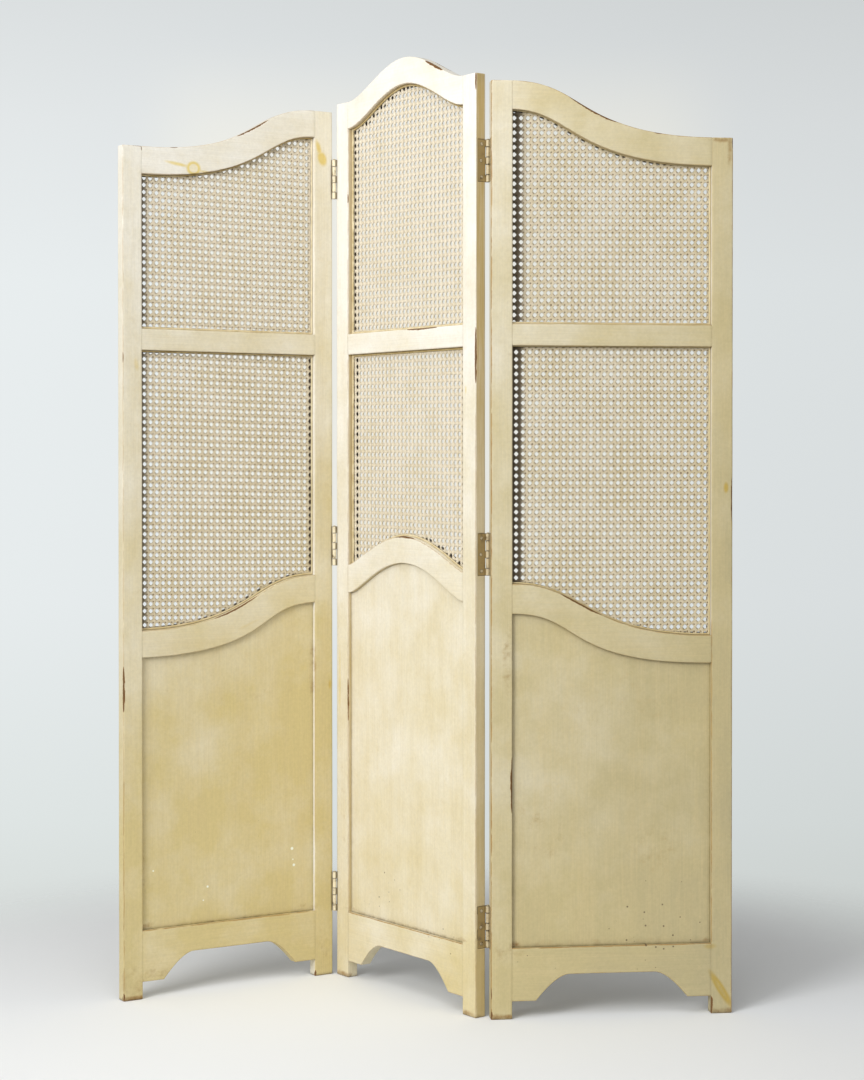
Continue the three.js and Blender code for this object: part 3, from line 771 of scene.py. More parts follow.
def woven_cane(f):
    """Split cane: tan with a cream wash, with painted shade round its holes and in the gaps by its
    crossings, and a painted shadow of the left stile beside it.
    """
    place, soil = f.place(), f.value("soil")
    # Toned by the yellowing, which also carries painted light and shade
    tone = f.value("age") * 0.6 + f.between(f.noise(place, 300, 3), 0.3, 0.7, -0.3, 0.3)
    tone = (tone + f.between(f.noise(place, 16, 3), 0.35, 0.7, -0.12, 0.2)).clamped()
    strand = f.mix(tone, "cane_light", "cane_dark")
    sunk = f.between(f.value("sunk"), 0.1, 0.8) * soil
    strand = f.mix(sunk * 0.3, strand, "cane_glaze")
    stray = f.between(f.noise(place, 120, 2), 0.3, 0.7, -0.0004, 0.0004)
    cell = f.vectors("SUBTRACT", f.vectors("FRACTION", f.vector("weave")), (0.5, 0.5, 0))
    pitch = bpy.context.scene.screen_sizes.cane_pitch
    from_hole = f.vectors("MULTIPLY", cell, (MEAN_ACROSS * MM, pitch, 0))
    for across, up, full, gone, most, tint in WEAVE_SHADE_MARKS:
        apart = f.vectors("DISTANCE", from_hole, (across * MM, up * MM, 0))
        mark = f.between(apart + stray, gone * MM, full * MM, 0.0, most) * soil
        strand = f.mix(mark.clamped(), strand, tint)
    # Painted shadow of the left stile, deepened as dark glaze, in a strip beside it
    strand = f.mix(f.value("edge"), strand, "umber_glaze")
    fibre = f.noise(f.vector("board"), 900, 2)
    f.finish(base_color=strand, roughness=0.5, normal=f.bump(fibre, 0.0001, 0.4))


def reed(f):
    """Half-round reed under the paint, with painted shade in brown on the sides that lie in shade,
    and glaze and painted shade along its edges, where it meets the wood and the cane.
    """
    fibre = f.fibres(f.vector("run"), 14, 900, 3, 0.6)
    worn = f.noise(f.place(), 60, 4, 0.65)
    # Toned by the yellowing, which also carries painted light and shade
    body = f.mix(f.value("age"), "reed_light", "cane_dark")
    body = f.mix(f.between(fibre, 0.4, 0.66, 0, 0.3), body, "cane_glaze")
    brown = f.value("browned") + f.between(worn, 0.35, 0.65, -0.25, 0.25)
    body = f.mix(brown.clamped(), body, "brown_edge")
    side = f.value("side") * f.between(worn, 0.35, 0.6, 0.25, 1.1)
    body = f.mix(side.clamped(), body, "umber_glaze")
    f.finish(base_color=body, roughness=0.5, normal=f.bump(fibre, 0.0002, 0.6))


def painted_steel(f):
    """Steel that was painted with the wood, browned, and rubbed bare in places."""
    place = f.place()
    patchy, fine = f.noise(place, 90, 4, 0.6), f.noise(place, 700, 3)
    worn = f.math("MAXIMUM", f.between(patchy + fine * 0.25, 0.7, 0.82), f.value("bright"))
    paint = f.mix(f.value("browned"), "hinge_paint", "hinge_brown")
    paint = f.mix(f.between(patchy, 0.4, 0.7, 0, 0.3), paint, "cane_glaze")
    paint = f.mix(worn, paint, f.mix(fine, "steel", "hinge_brown"))
    # Dark rims, knuckle ends and screw slots: glaze and painted shade in the gaps
    paint = f.mix(f.value("glaze"), paint, "umber_glaze")
    f.finish(base_color=paint, metallic=worn * 0.7, roughness=f.between(fine, 0.3, 0.7, 0.32, 0.5),
             normal=f.bump(patchy, 0.0002, 0.5))


FINISHES = {
    "paint": ("worn_cream_paint", worn_paint), "cane": ("woven_split_cane", woven_cane),
    "reed": ("half_round_reed", reed), "steel": ("painted_steel", painted_steel),
}
MATERIALS = {}


def new_material(name, build):
    made = bpy.data.materials.new(name)
    made.use_nodes = True
    build(Nodes(made.node_tree))
    return made


def material(kind):
    """Each finish is made once, from the colours in the scene's settings."""
    if kind not in MATERIALS:
        MATERIALS[kind] = new_material(*FINISHES[kind])
    return MATERIALS[kind]


def dress(made, kind, body, slot, *nodes):
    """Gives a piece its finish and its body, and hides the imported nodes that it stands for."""
    made.data.materials.clear()
    made.data.materials.append(material(kind))
    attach(made, body)
    if nodes:
        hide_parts(*nodes)


# ---- Wooden frames ----


# How the paint has yellowed and then greyed, which also holds painted light and shade: paler up
# high and on the centre panel, which faces the lamp, and darker lower down, towards each panel's
# right and on the right panel: (at the floor's left, less per metre up, more across)
AGEING_AND_SHADE = {"left": (1.08, 0.64, 0.24), "centre": (0.66, 0.46, 0.1), "right": (0.88, 0.24, 0.26)}
GREYING_AND_SHADE = {"left": (0.2, 0.9, -0.4), "centre": (0.0, 0.0, 0.0), "right": (0.4, 0.2, 0.4)}


def spread(table, panel, local):
    start, climb, across = table[panel.name]
    return np.clip(start - climb * local[:, 2] * MM + across * local[:, 0] / PANEL_WIDTH, 0, 1)


def lit_reveal(panel, local):
    """The reveals that face the light, painted paler as a painted highlight."""
    u, n, z = local.T
    pale = (np.abs(u - PANEL_WIDTH + STILE_WIDTH) < 0.5) * np.clip((n - 0.8) / 1.0, 0, 1)
    return pale * (z > (640 if panel.name == "right" else 0))


def corner_glaze_and_shade(panel, local):
    """Dark glaze in the joint lines; darker bottoms of the feet, for chipped dirty wood and painted
    shade where they meet the floor; and glaze along the top of the bottom rail, with painted shade
    deepening into its corner.
    """
    u, n, z = local.T
    glaze = np.clip(1.1 - z / 4, 0, 1) * 0.85
    sill = (np.abs(z - BOTTOM_RAIL_TOP) < 0.5) & (np.abs(u - PANEL_WIDTH / 2) < OPENING / 2)
    glaze = np.maximum(glaze, sill * np.clip((n - 2) / 5, 0, 1) * 0.75)
    for inner in (STILE_WIDTH, PANEL_WIDTH - STILE_WIDTH):
        for lower, upper in panel.rails.values():
            meets = (z > lower(u) - 2) & (z < upper(u) + 2)
            glaze = np.maximum(glaze, meets * np.clip(1.1 - np.abs(u - inner) / 0.7, 0, 1) * 0.12)
    return glaze


def reveal_shade_and_browning(panel, local):
    """Painted shade in brown on the reveals that face away from the light, and browner paint on the
    ridge fold's edge.
    """
    u, n, z = local.T
    inside = np.clip((n - 1.2) / 1.5, 0, 1) * np.clip((21.5 - n) / 1.5, 0, 1)
    brown = np.zeros(len(local))
    field = panel.rails["bottom"][1], panel.rails["waist"][0]
    for lower, upper in (*panel.openings.values(), field):
        within = (u > STILE_WIDTH - 0.6) & (u < PANEL_WIDTH - STILE_WIDTH + 0.6)
        under = within & (z > upper(u) - 0.4) & (z < upper(u) + 0.8)
        post = (np.abs(u - STILE_WIDTH) < 0.4) & (z > lower(u)) & (z < upper(u))
        brown = np.maximum(brown, inside * (0.75 * under + 0.8 * post))
    if panel.name == "centre":
        high = np.interp(z, (0, 400, 700, 1250, 1690), (0.7, 0.55, 0.3, 0.95, 1.0))
        brown = np.maximum(brown, inside * (u > PANEL_WIDTH - 2.4) * high)
    return brown


def hinge_cutter(edge, hinges):
    """Sinks a stile's edge where hinge leaves lie in it."""
    limits = [(z - HINGE["height"] / 2 - 0.3, z + HINGE["height"] / 2 + 0.3, face)
              for z, face in hinges]
    sunk = HINGE["leaf"] + 0.2

    def cut(along, across, depth):
        out = across.copy()
        for low, high, face in limits:
            deep = depth if face == "front" else THICKNESS - depth
            inside = ((along > low) & (along < high))[:, None] & (deep < HINGE["reach"] + 0.3)
            cleared = (np.minimum(out, PANEL_WIDTH - sunk) if edge == "right"
                       else np.maximum(out, sunk))
            out = np.where(inside, cleared, out)
        return out

    extra = [value for low, high, _ in limits for value in (low, low + 0.05, high - 0.05, high)]
    return cut, extra


def wood_pitch():
    return bpy.context.scene.screen_sizes.station_pitch / MM


def build_stile(panel, name, edge, height, seed):
    left_side = edge == "left"
    low, inner, away = (0.0, STILE_WIDTH, -1) if left_side else (
        PANEL_WIDTH - STILE_WIDTH, PANEL_WIDTH - STILE_WIDTH, 1)
    hinges = [(z, face) for fold, _, side, face, hinge_edge in LEAVES
              if side == panel.name and hinge_edge == edge for z in FOLDS[fold].values()]
    cut, extra, depth_rows = None, [], 7
    if hinges:
        cut, extra = hinge_cutter(edge, hinges)
        band = (HINGE["reach"] + 0.25 - 1.5) / (THICKNESS - 3)
        depth_rows = [0.13, 0.27, 0.4, 0.53, 0.67, band, band + 0.02, 0.92]
        if hinges[0][1] == "back":
            depth_rows = [1 - row for row in reversed(depth_rows)]
    along, draw = end_stations(0, height, wood_pitch(), extra, 1.8)
    joint = np.zeros(len(along))
    for lower, upper in panel.rails.values():
        inside = np.minimum(along - lower(inner), upper(inner) - along)
        joint = np.maximum(joint, np.clip(inside / 3, 0, 1))
    crisp = {corner: joint for corner in ((1, 2) if left_side else (0, 3))}
    shell = Shell()
    member(shell, seed, name, along, draw, low, low + STILE_WIDTH, (12, depth_rows), "z",
           hinge_cut=cut, crisp=crisp)
    for lower, upper in panel.openings.values():
        tip = inner - away * (SPLINES[panel.name][edge][0] + 0.4)
        span = np.array(sorted((inner + away, tip)))
        floor, ceiling = lower(span).max() + 0.3, upper(span).min() - 0.3
        along, draw = end_stations(floor, ceiling, 8, round_end=0.4)
        add_ledge(shell, seed, name, along, draw, *span, "z")
    finish_wood(shell, panel, name)


def add_ledge(shell, seed, name, along, draw, low, high, lengthwise):
    """Adds a strip behind the cane, dark as raw wood and as painted shade but for its back."""
    member(shell, seed + 3, name + "_ledge", along, draw, low, high, (1, 3), lengthwise,
           front=LEDGE_FRONT, back=THICKNESS - 0.3, radius=0.5,
           more=lambda local: {"raw": np.clip((THICKNESS - 0.8 - local[:, 1]) / 1.5, 0, 1)})


def build_rail(panel, rail, seed):
    lower, upper = panel.rails[rail]
    name = f"{panel.name}_{rail}_rail"
    start, end = STILE_WIDTH + JOINT_GAP / 2, PANEL_WIDTH - STILE_WIDTH - JOINT_GAP / 2
    corners = []
    if rail == "bottom":
        corners = [STILE_WIDTH + APRON["flat"], PANEL_WIDTH - STILE_WIDTH - APRON["flat"]]
        corners += [corner + step for corner in corners for step in (-0.6, 0.6)]
    along, draw = end_stations(start, end, wood_pitch(), corners, 0.3)
    rows = int(np.ceil((upper(along) - lower(along)).max() / 3.3))
    shell = Shell()
    member(shell, seed, name, along, draw, lower(along), upper(along), (rows, 7), "u",
           square_ends=True)
    sizes = SPLINES[panel.name]
    along, draw = end_stations(STILE_WIDTH + sizes["left"][0] + 0.7,
                               PANEL_WIDTH - STILE_WIDTH - sizes["right"][0] - 0.7, 6,
                               round_end=0.4)
    for curve, way, side, rails in ((lower, -1, "top", ("top", "cross")),
                                    (upper, 1, "bottom", ("cross", "waist"))):
        if rail in rails:
            tip = curve(along) + way * (sizes[side][0] + 0.4)
            root = curve(along) - way
            add_ledge(shell, seed, name, along, draw, np.minimum(tip, root),
                      np.maximum(tip, root), "u")
    finish_wood(shell, panel, name)


def finish_wood(shell, panel, node, slot="painted_frame"):
    """Adds the wear, and the painted light and shade, that go by place on the panel, and dresses
    the piece.
    """
    local = shell.local
    # Reveals that face the light are kept paler: a painted highlight
    pale = 1 - 0.8 * lit_reveal(panel, local)
    made = shell.object(
        f"painted_{node}", panel, age=spread(AGEING_AND_SHADE, panel, local) * pale,
        dull=spread(GREYING_AND_SHADE, panel, local) * pale, browned=reveal_shade_and_browning(panel, local),
        glaze=np.maximum(corner_glaze_and_shade(panel, local), shell.value("glaze")),
    )
    dress(made, "paint", panel.body, slot, node)


def build_field(panel, seed):
    """The plywood field: a slightly wavy sheet let into the frame on all four sides."""
    lower, upper = panel.rails["bottom"][1], panel.rails["waist"][0]
    tuck = 2.0
    u = np.linspace(STILE_WIDTH - tuck, PANEL_WIDTH - STILE_WIDTH + tuck, 88)
    share = np.linspace(0, 1, 150)
    us, shares = np.meshgrid(u, share, indexing="ij")
    floor, ceiling = lower(us) - tuck, upper(us) + tuck
    zs = floor + (ceiling - floor) * shares
    front = PLYWOOD_DEPTHS[0] + 0.16 * waves(seed, us + 0.4 * zs, 310) * waves(seed + 1, zs, 420)
    grid = np.stack([us.ravel(), front.ravel(), zs.ravel()], 1)
    back = grid.copy()
    back[:, 1] = PLYWOOD_DEPTHS[1]
    nu, nz = us.shape
    index = np.arange(nu * nz).reshape(nu, nz)
    a, b, c, d = index[:-1, :-1], index[1:, :-1], index[1:, 1:], index[:-1, 1:]
    faces = np.stack([a, b, c, d], -1).reshape(-1, 4).tolist()
    rear = (np.stack([d, c, b, a], -1).reshape(-1, 4) + nu * nz).tolist()
    rim = np.concatenate([index[:, 0], index[-1, 1:], index[-2::-1, -1], index[0, -2:0:-1]])
    after = np.roll(rim, -1)
    walls = np.stack([rim, rim + nu * nz, after + nu * nz, after], 1).tolist()
    local = np.vstack([grid, back])
    edge = np.minimum(
        np.minimum(local[:, 0] - STILE_WIDTH, PANEL_WIDTH - STILE_WIDTH - local[:, 0]),
        np.minimum(local[:, 2] - lower(local[:, 0]), upper(local[:, 0]) - local[:, 2]),
    )
    # Darker within 4 mm of the frame all round, and faintly within 22 mm
    soft = np.clip(1 - edge / 4.2, 0, 1) ** 2 * 0.62 + np.clip(1 - edge / 22, 0, 1) ** 2 * 0.05
    grain = np.stack([local[:, 2], local[:, 0], local[:, 1]], 1) * MM + seed * 0.41
    node = f"{panel.name}_plywood_field"
    shell = Shell()
    shell.add(local, faces + rear + walls, grain=grain, glaze=soft, raw=0, arris=1, lens=0, line=0,
              **front_marks(node, local))
    finish_wood(shell, panel, node, "painted_field")


# ---- Splines ----


def build_spline(panel, which):
    """A half-round reed pressed in all round an opening, mitred at its corners."""
    sizes = SPLINES[panel.name]
    widths = {side: sizes[side][0] for side in sizes}
    lower, upper = panel.openings[which]
    left, right = STILE_WIDTH, PANEL_WIDTH - STILE_WIDTH
    inner_left, inner_right = left + widths["left"], right - widths["right"]
    share = np.linspace(0, 1, 74)[:-1]

    def level(edge, lift, forward):
        s = share if forward else 1 - share
        outer, inner = left + (right - left) * s, inner_left + (inner_right - inner_left) * s
        return np.stack([outer, edge(outer)], 1), np.stack([inner, edge(inner) + lift], 1)

    def upright(outer, inner, rising):
        s = share if rising else 1 - share
        foot, head = lower(outer), upper(outer)
        start, end = lower(inner) + widths["bottom"], upper(inner) - widths["top"]
        return (np.stack([0 * s + outer, foot + (head - foot) * s], 1),
                np.stack([0 * s + inner, start + (end - start) * s], 1))

    sides = {
        "bottom": level(lower, widths["bottom"], True), "right": upright(right, inner_right, True),
        "top": level(upper, -widths["top"], False), "left": upright(left, inner_left, False),
    }
    outer = np.vstack([pair[0] for pair in sides.values()])
    inner = np.vstack([pair[1] for pair in sides.values()])
    # Each side's brown is painted shade, strongest where that side lies in shade
    browned = np.concatenate([np.full(len(share), sizes[side][1]) for side in sides])
    along = np.concatenate([[0], np.cumsum(np.linalg.norm(np.diff(outer, axis=0), axis=1))])
    tall = (SPLINE_DEPTHS[1] - SPLINE_DEPTHS[0]) * (1 + 0.08 * waves(5, along, 140))
    inner = inner + (inner - outer) * (0.07 * waves(9, along, 60))[:, None]
    points, run, side = [], [], []
    steps = 8
    for angle in np.linspace(0, math.pi, steps):
        at = (1 - math.cos(angle)) / 2
        flat = outer + (inner - outer) * at
        depth = SPLINE_DEPTHS[1] - tall * math.sin(angle)
        points.append(np.stack([flat[:, 0], depth, flat[:, 1]], 1))
        run.append(np.stack([along, 0 * along + at * 4.5, depth], 1) * MM)
        # Darker along both edges of the reed: glaze and painted shade where it meets the wood and
        # the cane
        side.append(0 * along + max(0, abs(at - 0.5) * 2 - 0.72) / 0.28 * 0.7)
    local = np.stack(points, 1).reshape(-1, 3)
    shell = Shell()
    shell.add(local, tube_faces(len(outer), steps, closed=True, flipped=True),
              run=np.stack(run, 1).reshape(-1, 3), side=np.stack(side, 1).ravel(),
              age=spread(AGEING_AND_SHADE, panel, local), browned=np.repeat(browned, steps))
    made = shell.object(f"reed_{panel.name}_{which}_spline", panel)
    dress(made, "reed", panel.body, "reed_spline", f"{panel.name}_{which}_spline")


# ---- Cane ----


def strand(points, faces, start, end, wide, thick):
    """One flat-backed strand of the weave between two points of (across, depth, up)."""
    start, end = np.array(start, float), np.array(end, float)
    way = (end - start)[[0, 2]] / np.linalg.norm((end - start)[[0, 2]])
    side = np.array([way[1], 0, -way[0]]) * wide / 2
    behind = np.array([0, thick / 2, 0])
    first = len(points)
    for at in (start, end):
        points += [at - side + behind, at - behind, at + side + behind]
    for a, b in ((0, 1), (1, 2), (2, 0)):
        faces.append([first + a, first + b, first + 3 + b, first + 3 + a])


def cane_cell(settings, across):
    """One repeat of the six-way weave, about a crossing of the upright and level pairs."""
    half, side_half = settings.cane_pitch / 2, across * MM / 2
    wide, apart, thick = settings.strand_width, settings.pair_spacing / 2, settings.strand_thickness
    lift = thick * 0.55
    points, faces = [], []
    for side in (-apart, apart):
        strand(points, faces, (side, lift, -half), (side, -lift, 0), wide, thick)
        strand(points, faces, (side, -lift, 0), (side, lift, half), wide, thick)
        strand(points, faces, (-side_half, -lift, side), (0, lift, side), wide, thick)
        strand(points, faces, (0, lift, side), (side_half, -lift, side), wide, thick)
    over, under = -2.1 * lift, 2.1 * lift
    for x in (-side_half, side_half):
        for z in (-half, half):
            strand(points, faces, (x, under, 0), (0, over, z), settings.diagonal_width, thick)
    cells = np.array(points)[:, [0, 2, 1]] / (across * MM, settings.cane_pitch, 1) * (1, 1, 0)
    return plain_object("cane_repeat", points, faces, weave=cells)


def cane_tree():
    """Copies of the repeat on every point, joined up and strayed from their grid."""
    tree = GeometryTree("Woven cane", Repeat="Object", Turn="Float", Wander="Float",
                        Wander_Size="Float", Merge="Float")
    given = tree.inputs
    turn = tree.out("ShaderNodeCombineXYZ", {"Z": given["Turn"]})
    scale = tree.math("DIVIDE", 1.0, given["Wander Size"])
    noise = tree.out("ShaderNodeTexNoise", {"Scale": scale, "Detail": 2.0}, "Color")
    centred = tree.vectors("SUBTRACT", noise, (0.5, 0.5, 0.5))
    moved = tree.out("GeometryNodeSetPosition", {
        "Geometry": tree.real(tree.copies("Repeat", turn)),
        "Offset": tree.resized(centred, given["Wander"])})
    return tree.close(tree.out("GeometryNodeMergeByDistance", {
        "Geometry": moved, "Distance": given["Merge"]}))


# Each sheet of cane: where one of its holes sits (u, z), its pitch across, and its rows' lean
SHEETS = {
    "left_upper": ((48.1, 1507.9), 12.66, -0.0105),
    "left_middle": ((48.4, 1508.7), 12.47, -0.0225),
    "centre_upper": ((36.2, 1498.4), 12.25, -0.0135),
    "centre_middle": ((42.2, 1503.4), 12.43, -0.0095),
    "right_upper": ((43.1, 1598.2), 12.46, 0.0085),
    "right_middle": ((46.9, 1595.7), 12.34, 0.002),
}
# How much dirt and painted shade each panel's cane holds, and the painted shadow of its left stile
# on the cane beside it, deepened as dark glaze: (dirt and shade, darkness of the strip, where it
# starts to fade, where it ends)
CANE_DIRT_AND_SHADOW = {
    "left": (0.32, 0.8, 8.5, 13), "centre": (0.1, 0.0, 0, 1), "right": (0.34, 0.92, 15.5, 26),
}
WANDER_SIZE = 0.06  # how far apart the weave's strayings are, in metres
JOIN_WITHIN = 0.0003  # points of neighbouring repeats this close are joined, in metres


def read_vectors(mesh, key):
    values = np.empty(len(mesh.vertices) * 3, np.float32)
    mesh.attributes[key].data.foreach_get("vector", values)
    return values.reshape(-1, 3)


def build_cane(panel, which, tree):
    settings = bpy.context.scene.screen_sizes
    (hole_u, hole_z), across, lean = SHEETS[f"{panel.name}_{which}"]
    soil, stile_shadow_darkness, fades, ends = CANE_DIRT_AND_SHADOW[panel.name]
    repeat = cane_cell(settings, across)
    pitch = settings.cane_pitch / MM
    lower, upper = panel.openings[which]
    tuck = pitch * 0.8
    columns = np.arange(math.ceil((STILE_WIDTH - tuck - hole_u) / across - 0.5),
                        math.floor((PANEL_WIDTH - STILE_WIDTH + tuck - hole_u) / across - 0.5) + 1)
    rows = np.arange(-120, 40)
    columns, rows = (grid.ravel() for grid in np.meshgrid(columns, rows))
    us = hole_u + (columns + 0.5) * across
    zs = hole_z + (rows + 0.5) * pitch + lean * (us - PANEL_WIDTH / 2)
    reach = np.stack([us - across / 2, us, us + across / 2])
    floor = lower(reach).min(0) - pitch / 2 - 1
    ceiling = upper(reach).max(0) + pitch / 2 + 1
    keep = (zs > floor) & (zs < ceiling)
    us, zs = us[keep], zs[keep]
    cells = np.stack([columns, rows, 0 * rows], 1)[keep]
    points = panel.place(np.stack([us, 0 * us + CANE_DEPTH, zs], 1))
    name = f"{panel.name}_{which}_cane"
    made = plain_object(f"woven_{name}", points, cell=cells)
    run_tree(made, tree, Repeat=repeat, Turn=panel.turn, Wander=settings.cane_wander,
             Wander_Size=WANDER_SIZE, Merge=JOIN_WITHIN, Material=material("cane"))
    bpy.data.objects.remove(repeat)
    mesh = made.data
    close_ends(mesh)
    weave = read_vectors(mesh, "weave") + read_vectors(mesh, "cell")
    mesh.attributes.remove(mesh.attributes["cell"])
    local = panel.local(read_vectors(mesh, "position").astype(float))
    left = local[:, 0] - STILE_WIDTH
    for key, values in {
        "weave": weave, "board": local * MM, "age": spread(AGEING_AND_SHADE, panel, local),
        "sunk": np.clip((local[:, 1] - CANE_DEPTH) / 1.6 + 0.25, 0, 1), "soil": 0 * left + soil,
        # edge: the painted shadow of the left stile, deepened as dark glaze, fading out across the
        # strip
        "edge": stile_shadow_darkness * np.clip((ends - left) / (ends - fades), 0, 1),
    }.items():
        set_values(mesh, key, values)
    dress(made, "cane", panel.body, "woven_cane", name)


def close_ends(mesh):
    """Closes the cut ends of the strands, which lie inside the wood."""
    build = bmesh.new()
    build.from_mesh(mesh)
    bmesh.ops.holes_fill(build, edges=[e for e in build.edges if e.is_boundary], sides=6)
    build.to_mesh(mesh)
    build.free()


# ---- Hinges ----


class HingeFrame:
    """Turns (inward from the pin, deep past the face) into a panel's u and n."""

    def __init__(self, face, edge):
        self.face, self.edge = face, edge
        self.to_pin = HINGE["radius"] - HINGE["leaf"]

    def points(self, inward, deep, z):
        inward, deep, z = np.broadcast_arrays(*(np.asarray(v, float) for v in (inward, deep, z)))
        right = self.edge == "right"
        u = PANEL_WIDTH + self.to_pin - inward if right else inward - self.to_pin
        n = deep - HINGE["offset"] if self.face == "front" else THICKNESS + HINGE["offset"] - deep
        return np.stack([u.ravel(), n.ravel(), z.ravel()], 1)

    @property
    def flipped(self):
        return (self.edge == "right") != (self.face == "back")


def lathe(shell, hinge, profile, **values):
    """A turned shape about the pin's line: profile points are (radius, height, darkness of glaze
    and painted shade).
    """
    sides = 24
    angle = np.arange(sides) / sides * math.tau
    radius, height, glaze = (np.array(column)[:, None] for column in zip(*profile))
    points = hinge.points(radius * np.cos(angle), radius * np.sin(angle), height + 0 * angle)
    shell.add(points, tube_faces(len(profile), sides, flipped=hinge.flipped),
              glaze=np.repeat(glaze, sides), **values)


def slab(shell, hinge, outline, dark, **values):
    """A plate with a bevelled rim, darkened with glaze and painted shade in the gap round it:
    outline points are (deep, height).
    """
    outline = np.array(outline, float)
    middle = outline.mean(0)
    size = outline.max(0) - outline.min(0)
    near, bevel, flat = hinge.to_pin, 0.2, 1.1

    def shrunk(by):
        return middle + (outline - middle) * (1 - 2 * by / size)

    rings = [(shrunk(flat), near, 0), (shrunk(bevel), near, 0.8), (outline, near + bevel, 1),
             (outline, HINGE["radius"], 1)]
    points = np.vstack([hinge.points(depth, ring[:, 0], ring[:, 1]) for ring, depth, _ in rings])
    shell.add(points, tube_faces(len(rings), len(outline), flipped=hinge.flipped),
              glaze=np.repeat([share * dark for _, _, share in rings], len(outline)), **values)


def rounded_plate(deep, heights, radius):
    (x0, x1), (z0, z1) = deep, heights
    steps = 4
    outline = []
    for cx, cz, start in ((x1 - radius, z0 + radius, -90), (x1 - radius, z1 - radius, 0)):
        for step in range(steps + 1):
            angle = math.radians(start + 90 * step / steps)
            outline.append((cx + radius * math.cos(angle), cz + radius * math.sin(angle)))
    return [(x0, z0), *outline, (x0, z1)]


def knuckles(height):
    """The five knuckles' heights, from the lowest up."""
    inner = (HINGE["height"] - 3 * HINGE["end"]) / 2
    z, out = height - HINGE["height"] / 2, []
    for tall in (HINGE["end"], inner, HINGE["end"], inner, HINGE["end"]):
        out.append((z, z + tall))
        z += tall
    return out


def hinge_span(fold, place):
    height = FOLDS[fold][place]
    return height - HINGE["height"] / 2, height + HINGE["height"] / 2


def build_leaf(panel, fold, place, side, face, edge):
    hinge = HingeFrame(face, edge)
    notch = HINGE["radius"] + HINGE["gap"]
    first = 0 if side == "centre_leaf" else 1
    # dark: glaze and painted shade in the gaps round the leaf and its knuckles
    browned, dark, barrel = (1.0, 1.0, 0.5) if fold == "right_fold" else (0.25, 0.7, 0.02)
    shell = Shell()
    plate = rounded_plate((notch, HINGE["offset"] + HINGE["reach"]), hinge_span(fold, place), 1.6)
    slab(shell, hinge, plate, dark, browned=browned, bright=0)
    for index, (z0, z1) in enumerate(knuckles(FOLDS[fold][place])):
        if index % 2 != first:
            continue
        z0, z1 = z0 + 0.2 * (index > 0), z1 - 0.2 * (index < 4)
        slab(shell, hinge, [(0.0, z0), (notch + 1, z0), (notch + 1, z1), (0.0, z1)], dark,
             browned=browned, bright=0)
        # Dark rings at the knuckle ends: painted shade in the gaps between knuckles
        ends = [(0.35, 0.0, dark), (0.1, 0.12, dark), (0.0, 0.5, dark * 0.6), (0.0, 1.4, 0)]
        radius = HINGE["radius"]
        lathe(shell, hinge, [(radius - less, z0 + up, glaze) for less, up, glaze in ends]
              + [(radius - less, z1 - up, glaze) for less, up, glaze in reversed(ends)],
              browned=barrel, bright=0)
    node = f"{fold}_{place}_hinge_{side}"
    made = shell.object(f"worn_{node}", panel)
    smooth_below(made.data, 40)
    dress(made, "steel", panel.body, "hinge_steel", node)


def smooth_below(mesh, degrees):
    """Smooth shading that keeps edges sharper than the angle given."""
    build = bmesh.new()
    build.from_mesh(mesh)
    for face in build.faces:
        face.smooth = True
    for edge in build.edges:
        if len(edge.link_faces) == 2 and edge.calc_face_angle(0) > math.radians(degrees):
            edge.smooth = False
    build.to_mesh(mesh)
    build.free()


def build_pin(fold, place):
    panel = PANELS["centre"]
    face, edge = ("front", "left") if fold == "left_fold" else ("back", "right")
    low, high = hinge_span(fold, place)
    rim = high + 0.3
    pin, (head, rise) = HINGE["pin"], HINGE["head"]
    dome = [(head * math.cos(a), rim + 0.3 + (rise - 0.3) * math.sin(a), 0)
            for a in np.linspace(0, math.pi / 2 * 0.93, 6)]
    shell = Shell()
    lathe(shell, HingeFrame(face, edge), [(pin - 0.3, low, 0), (pin, low + 0.3, 0), (pin, rim, 0),
                                          (head - 0.2, rim, 0), *dome], browned=0.3, bright=0.35)
    node = f"{fold}_{place}_hinge_pin"
    made = shell.object(f"worn_{node}", panel)
    smooth_below(made.data, 50)
    dress(made, "steel", panel.body, "hinge_steel", node)


def screw_pattern():
    """A slotted countersunk head that faces +Z, in metres, with its rim at the origin's level."""
    radius, slot, crown, sunk = 3.6, 0.42, 0.35, 0.75
    points, faces = [], []
    start = math.asin(slot / radius)
    for side in (0, 1):
        angles = np.linspace(start, math.pi - start, 10) + side * math.pi
        first, edge = len(points), slot * (1 - 2 * side)
        rim = [(radius * math.cos(a), radius * math.sin(a)) for a in angles]
        count = len(rim)
        points += [(x, y, -sunk) for x, y in rim] + [(x, y, 0.0) for x, y in rim]
        points += [(x * 0.52, edge + (y - edge) * 0.5, crown) for x, y in rim]
        for i in range(count - 1):
            for level in (0, 1):
                a = first + level * count + i
                faces.append([a, a + 1, a + 1 + count, a + count])
        faces.append([first + 2 * count + i for i in range(count)])
        last = first + count - 1
        faces.append([last, first, first + count, first + count + count, last + 2 * count,
                      last + count])
    base = len(points)
    x = radius * math.cos(start)
    points += [(-x, -slot, -0.2), (x, -slot, -0.2), (x, slot, -0.2), (-x, slot, -0.2)]
    faces.append([base, base + 1, base + 2, base + 3])
    points = np.array(points)
    # Rim and slot dark: glaze and painted shade in the slot and round the head
    glaze = np.where(points[:, 2] > 0.3, 0.0, 1.0)
    return plain_object("screw_head", points * MM, faces, glaze=glaze)


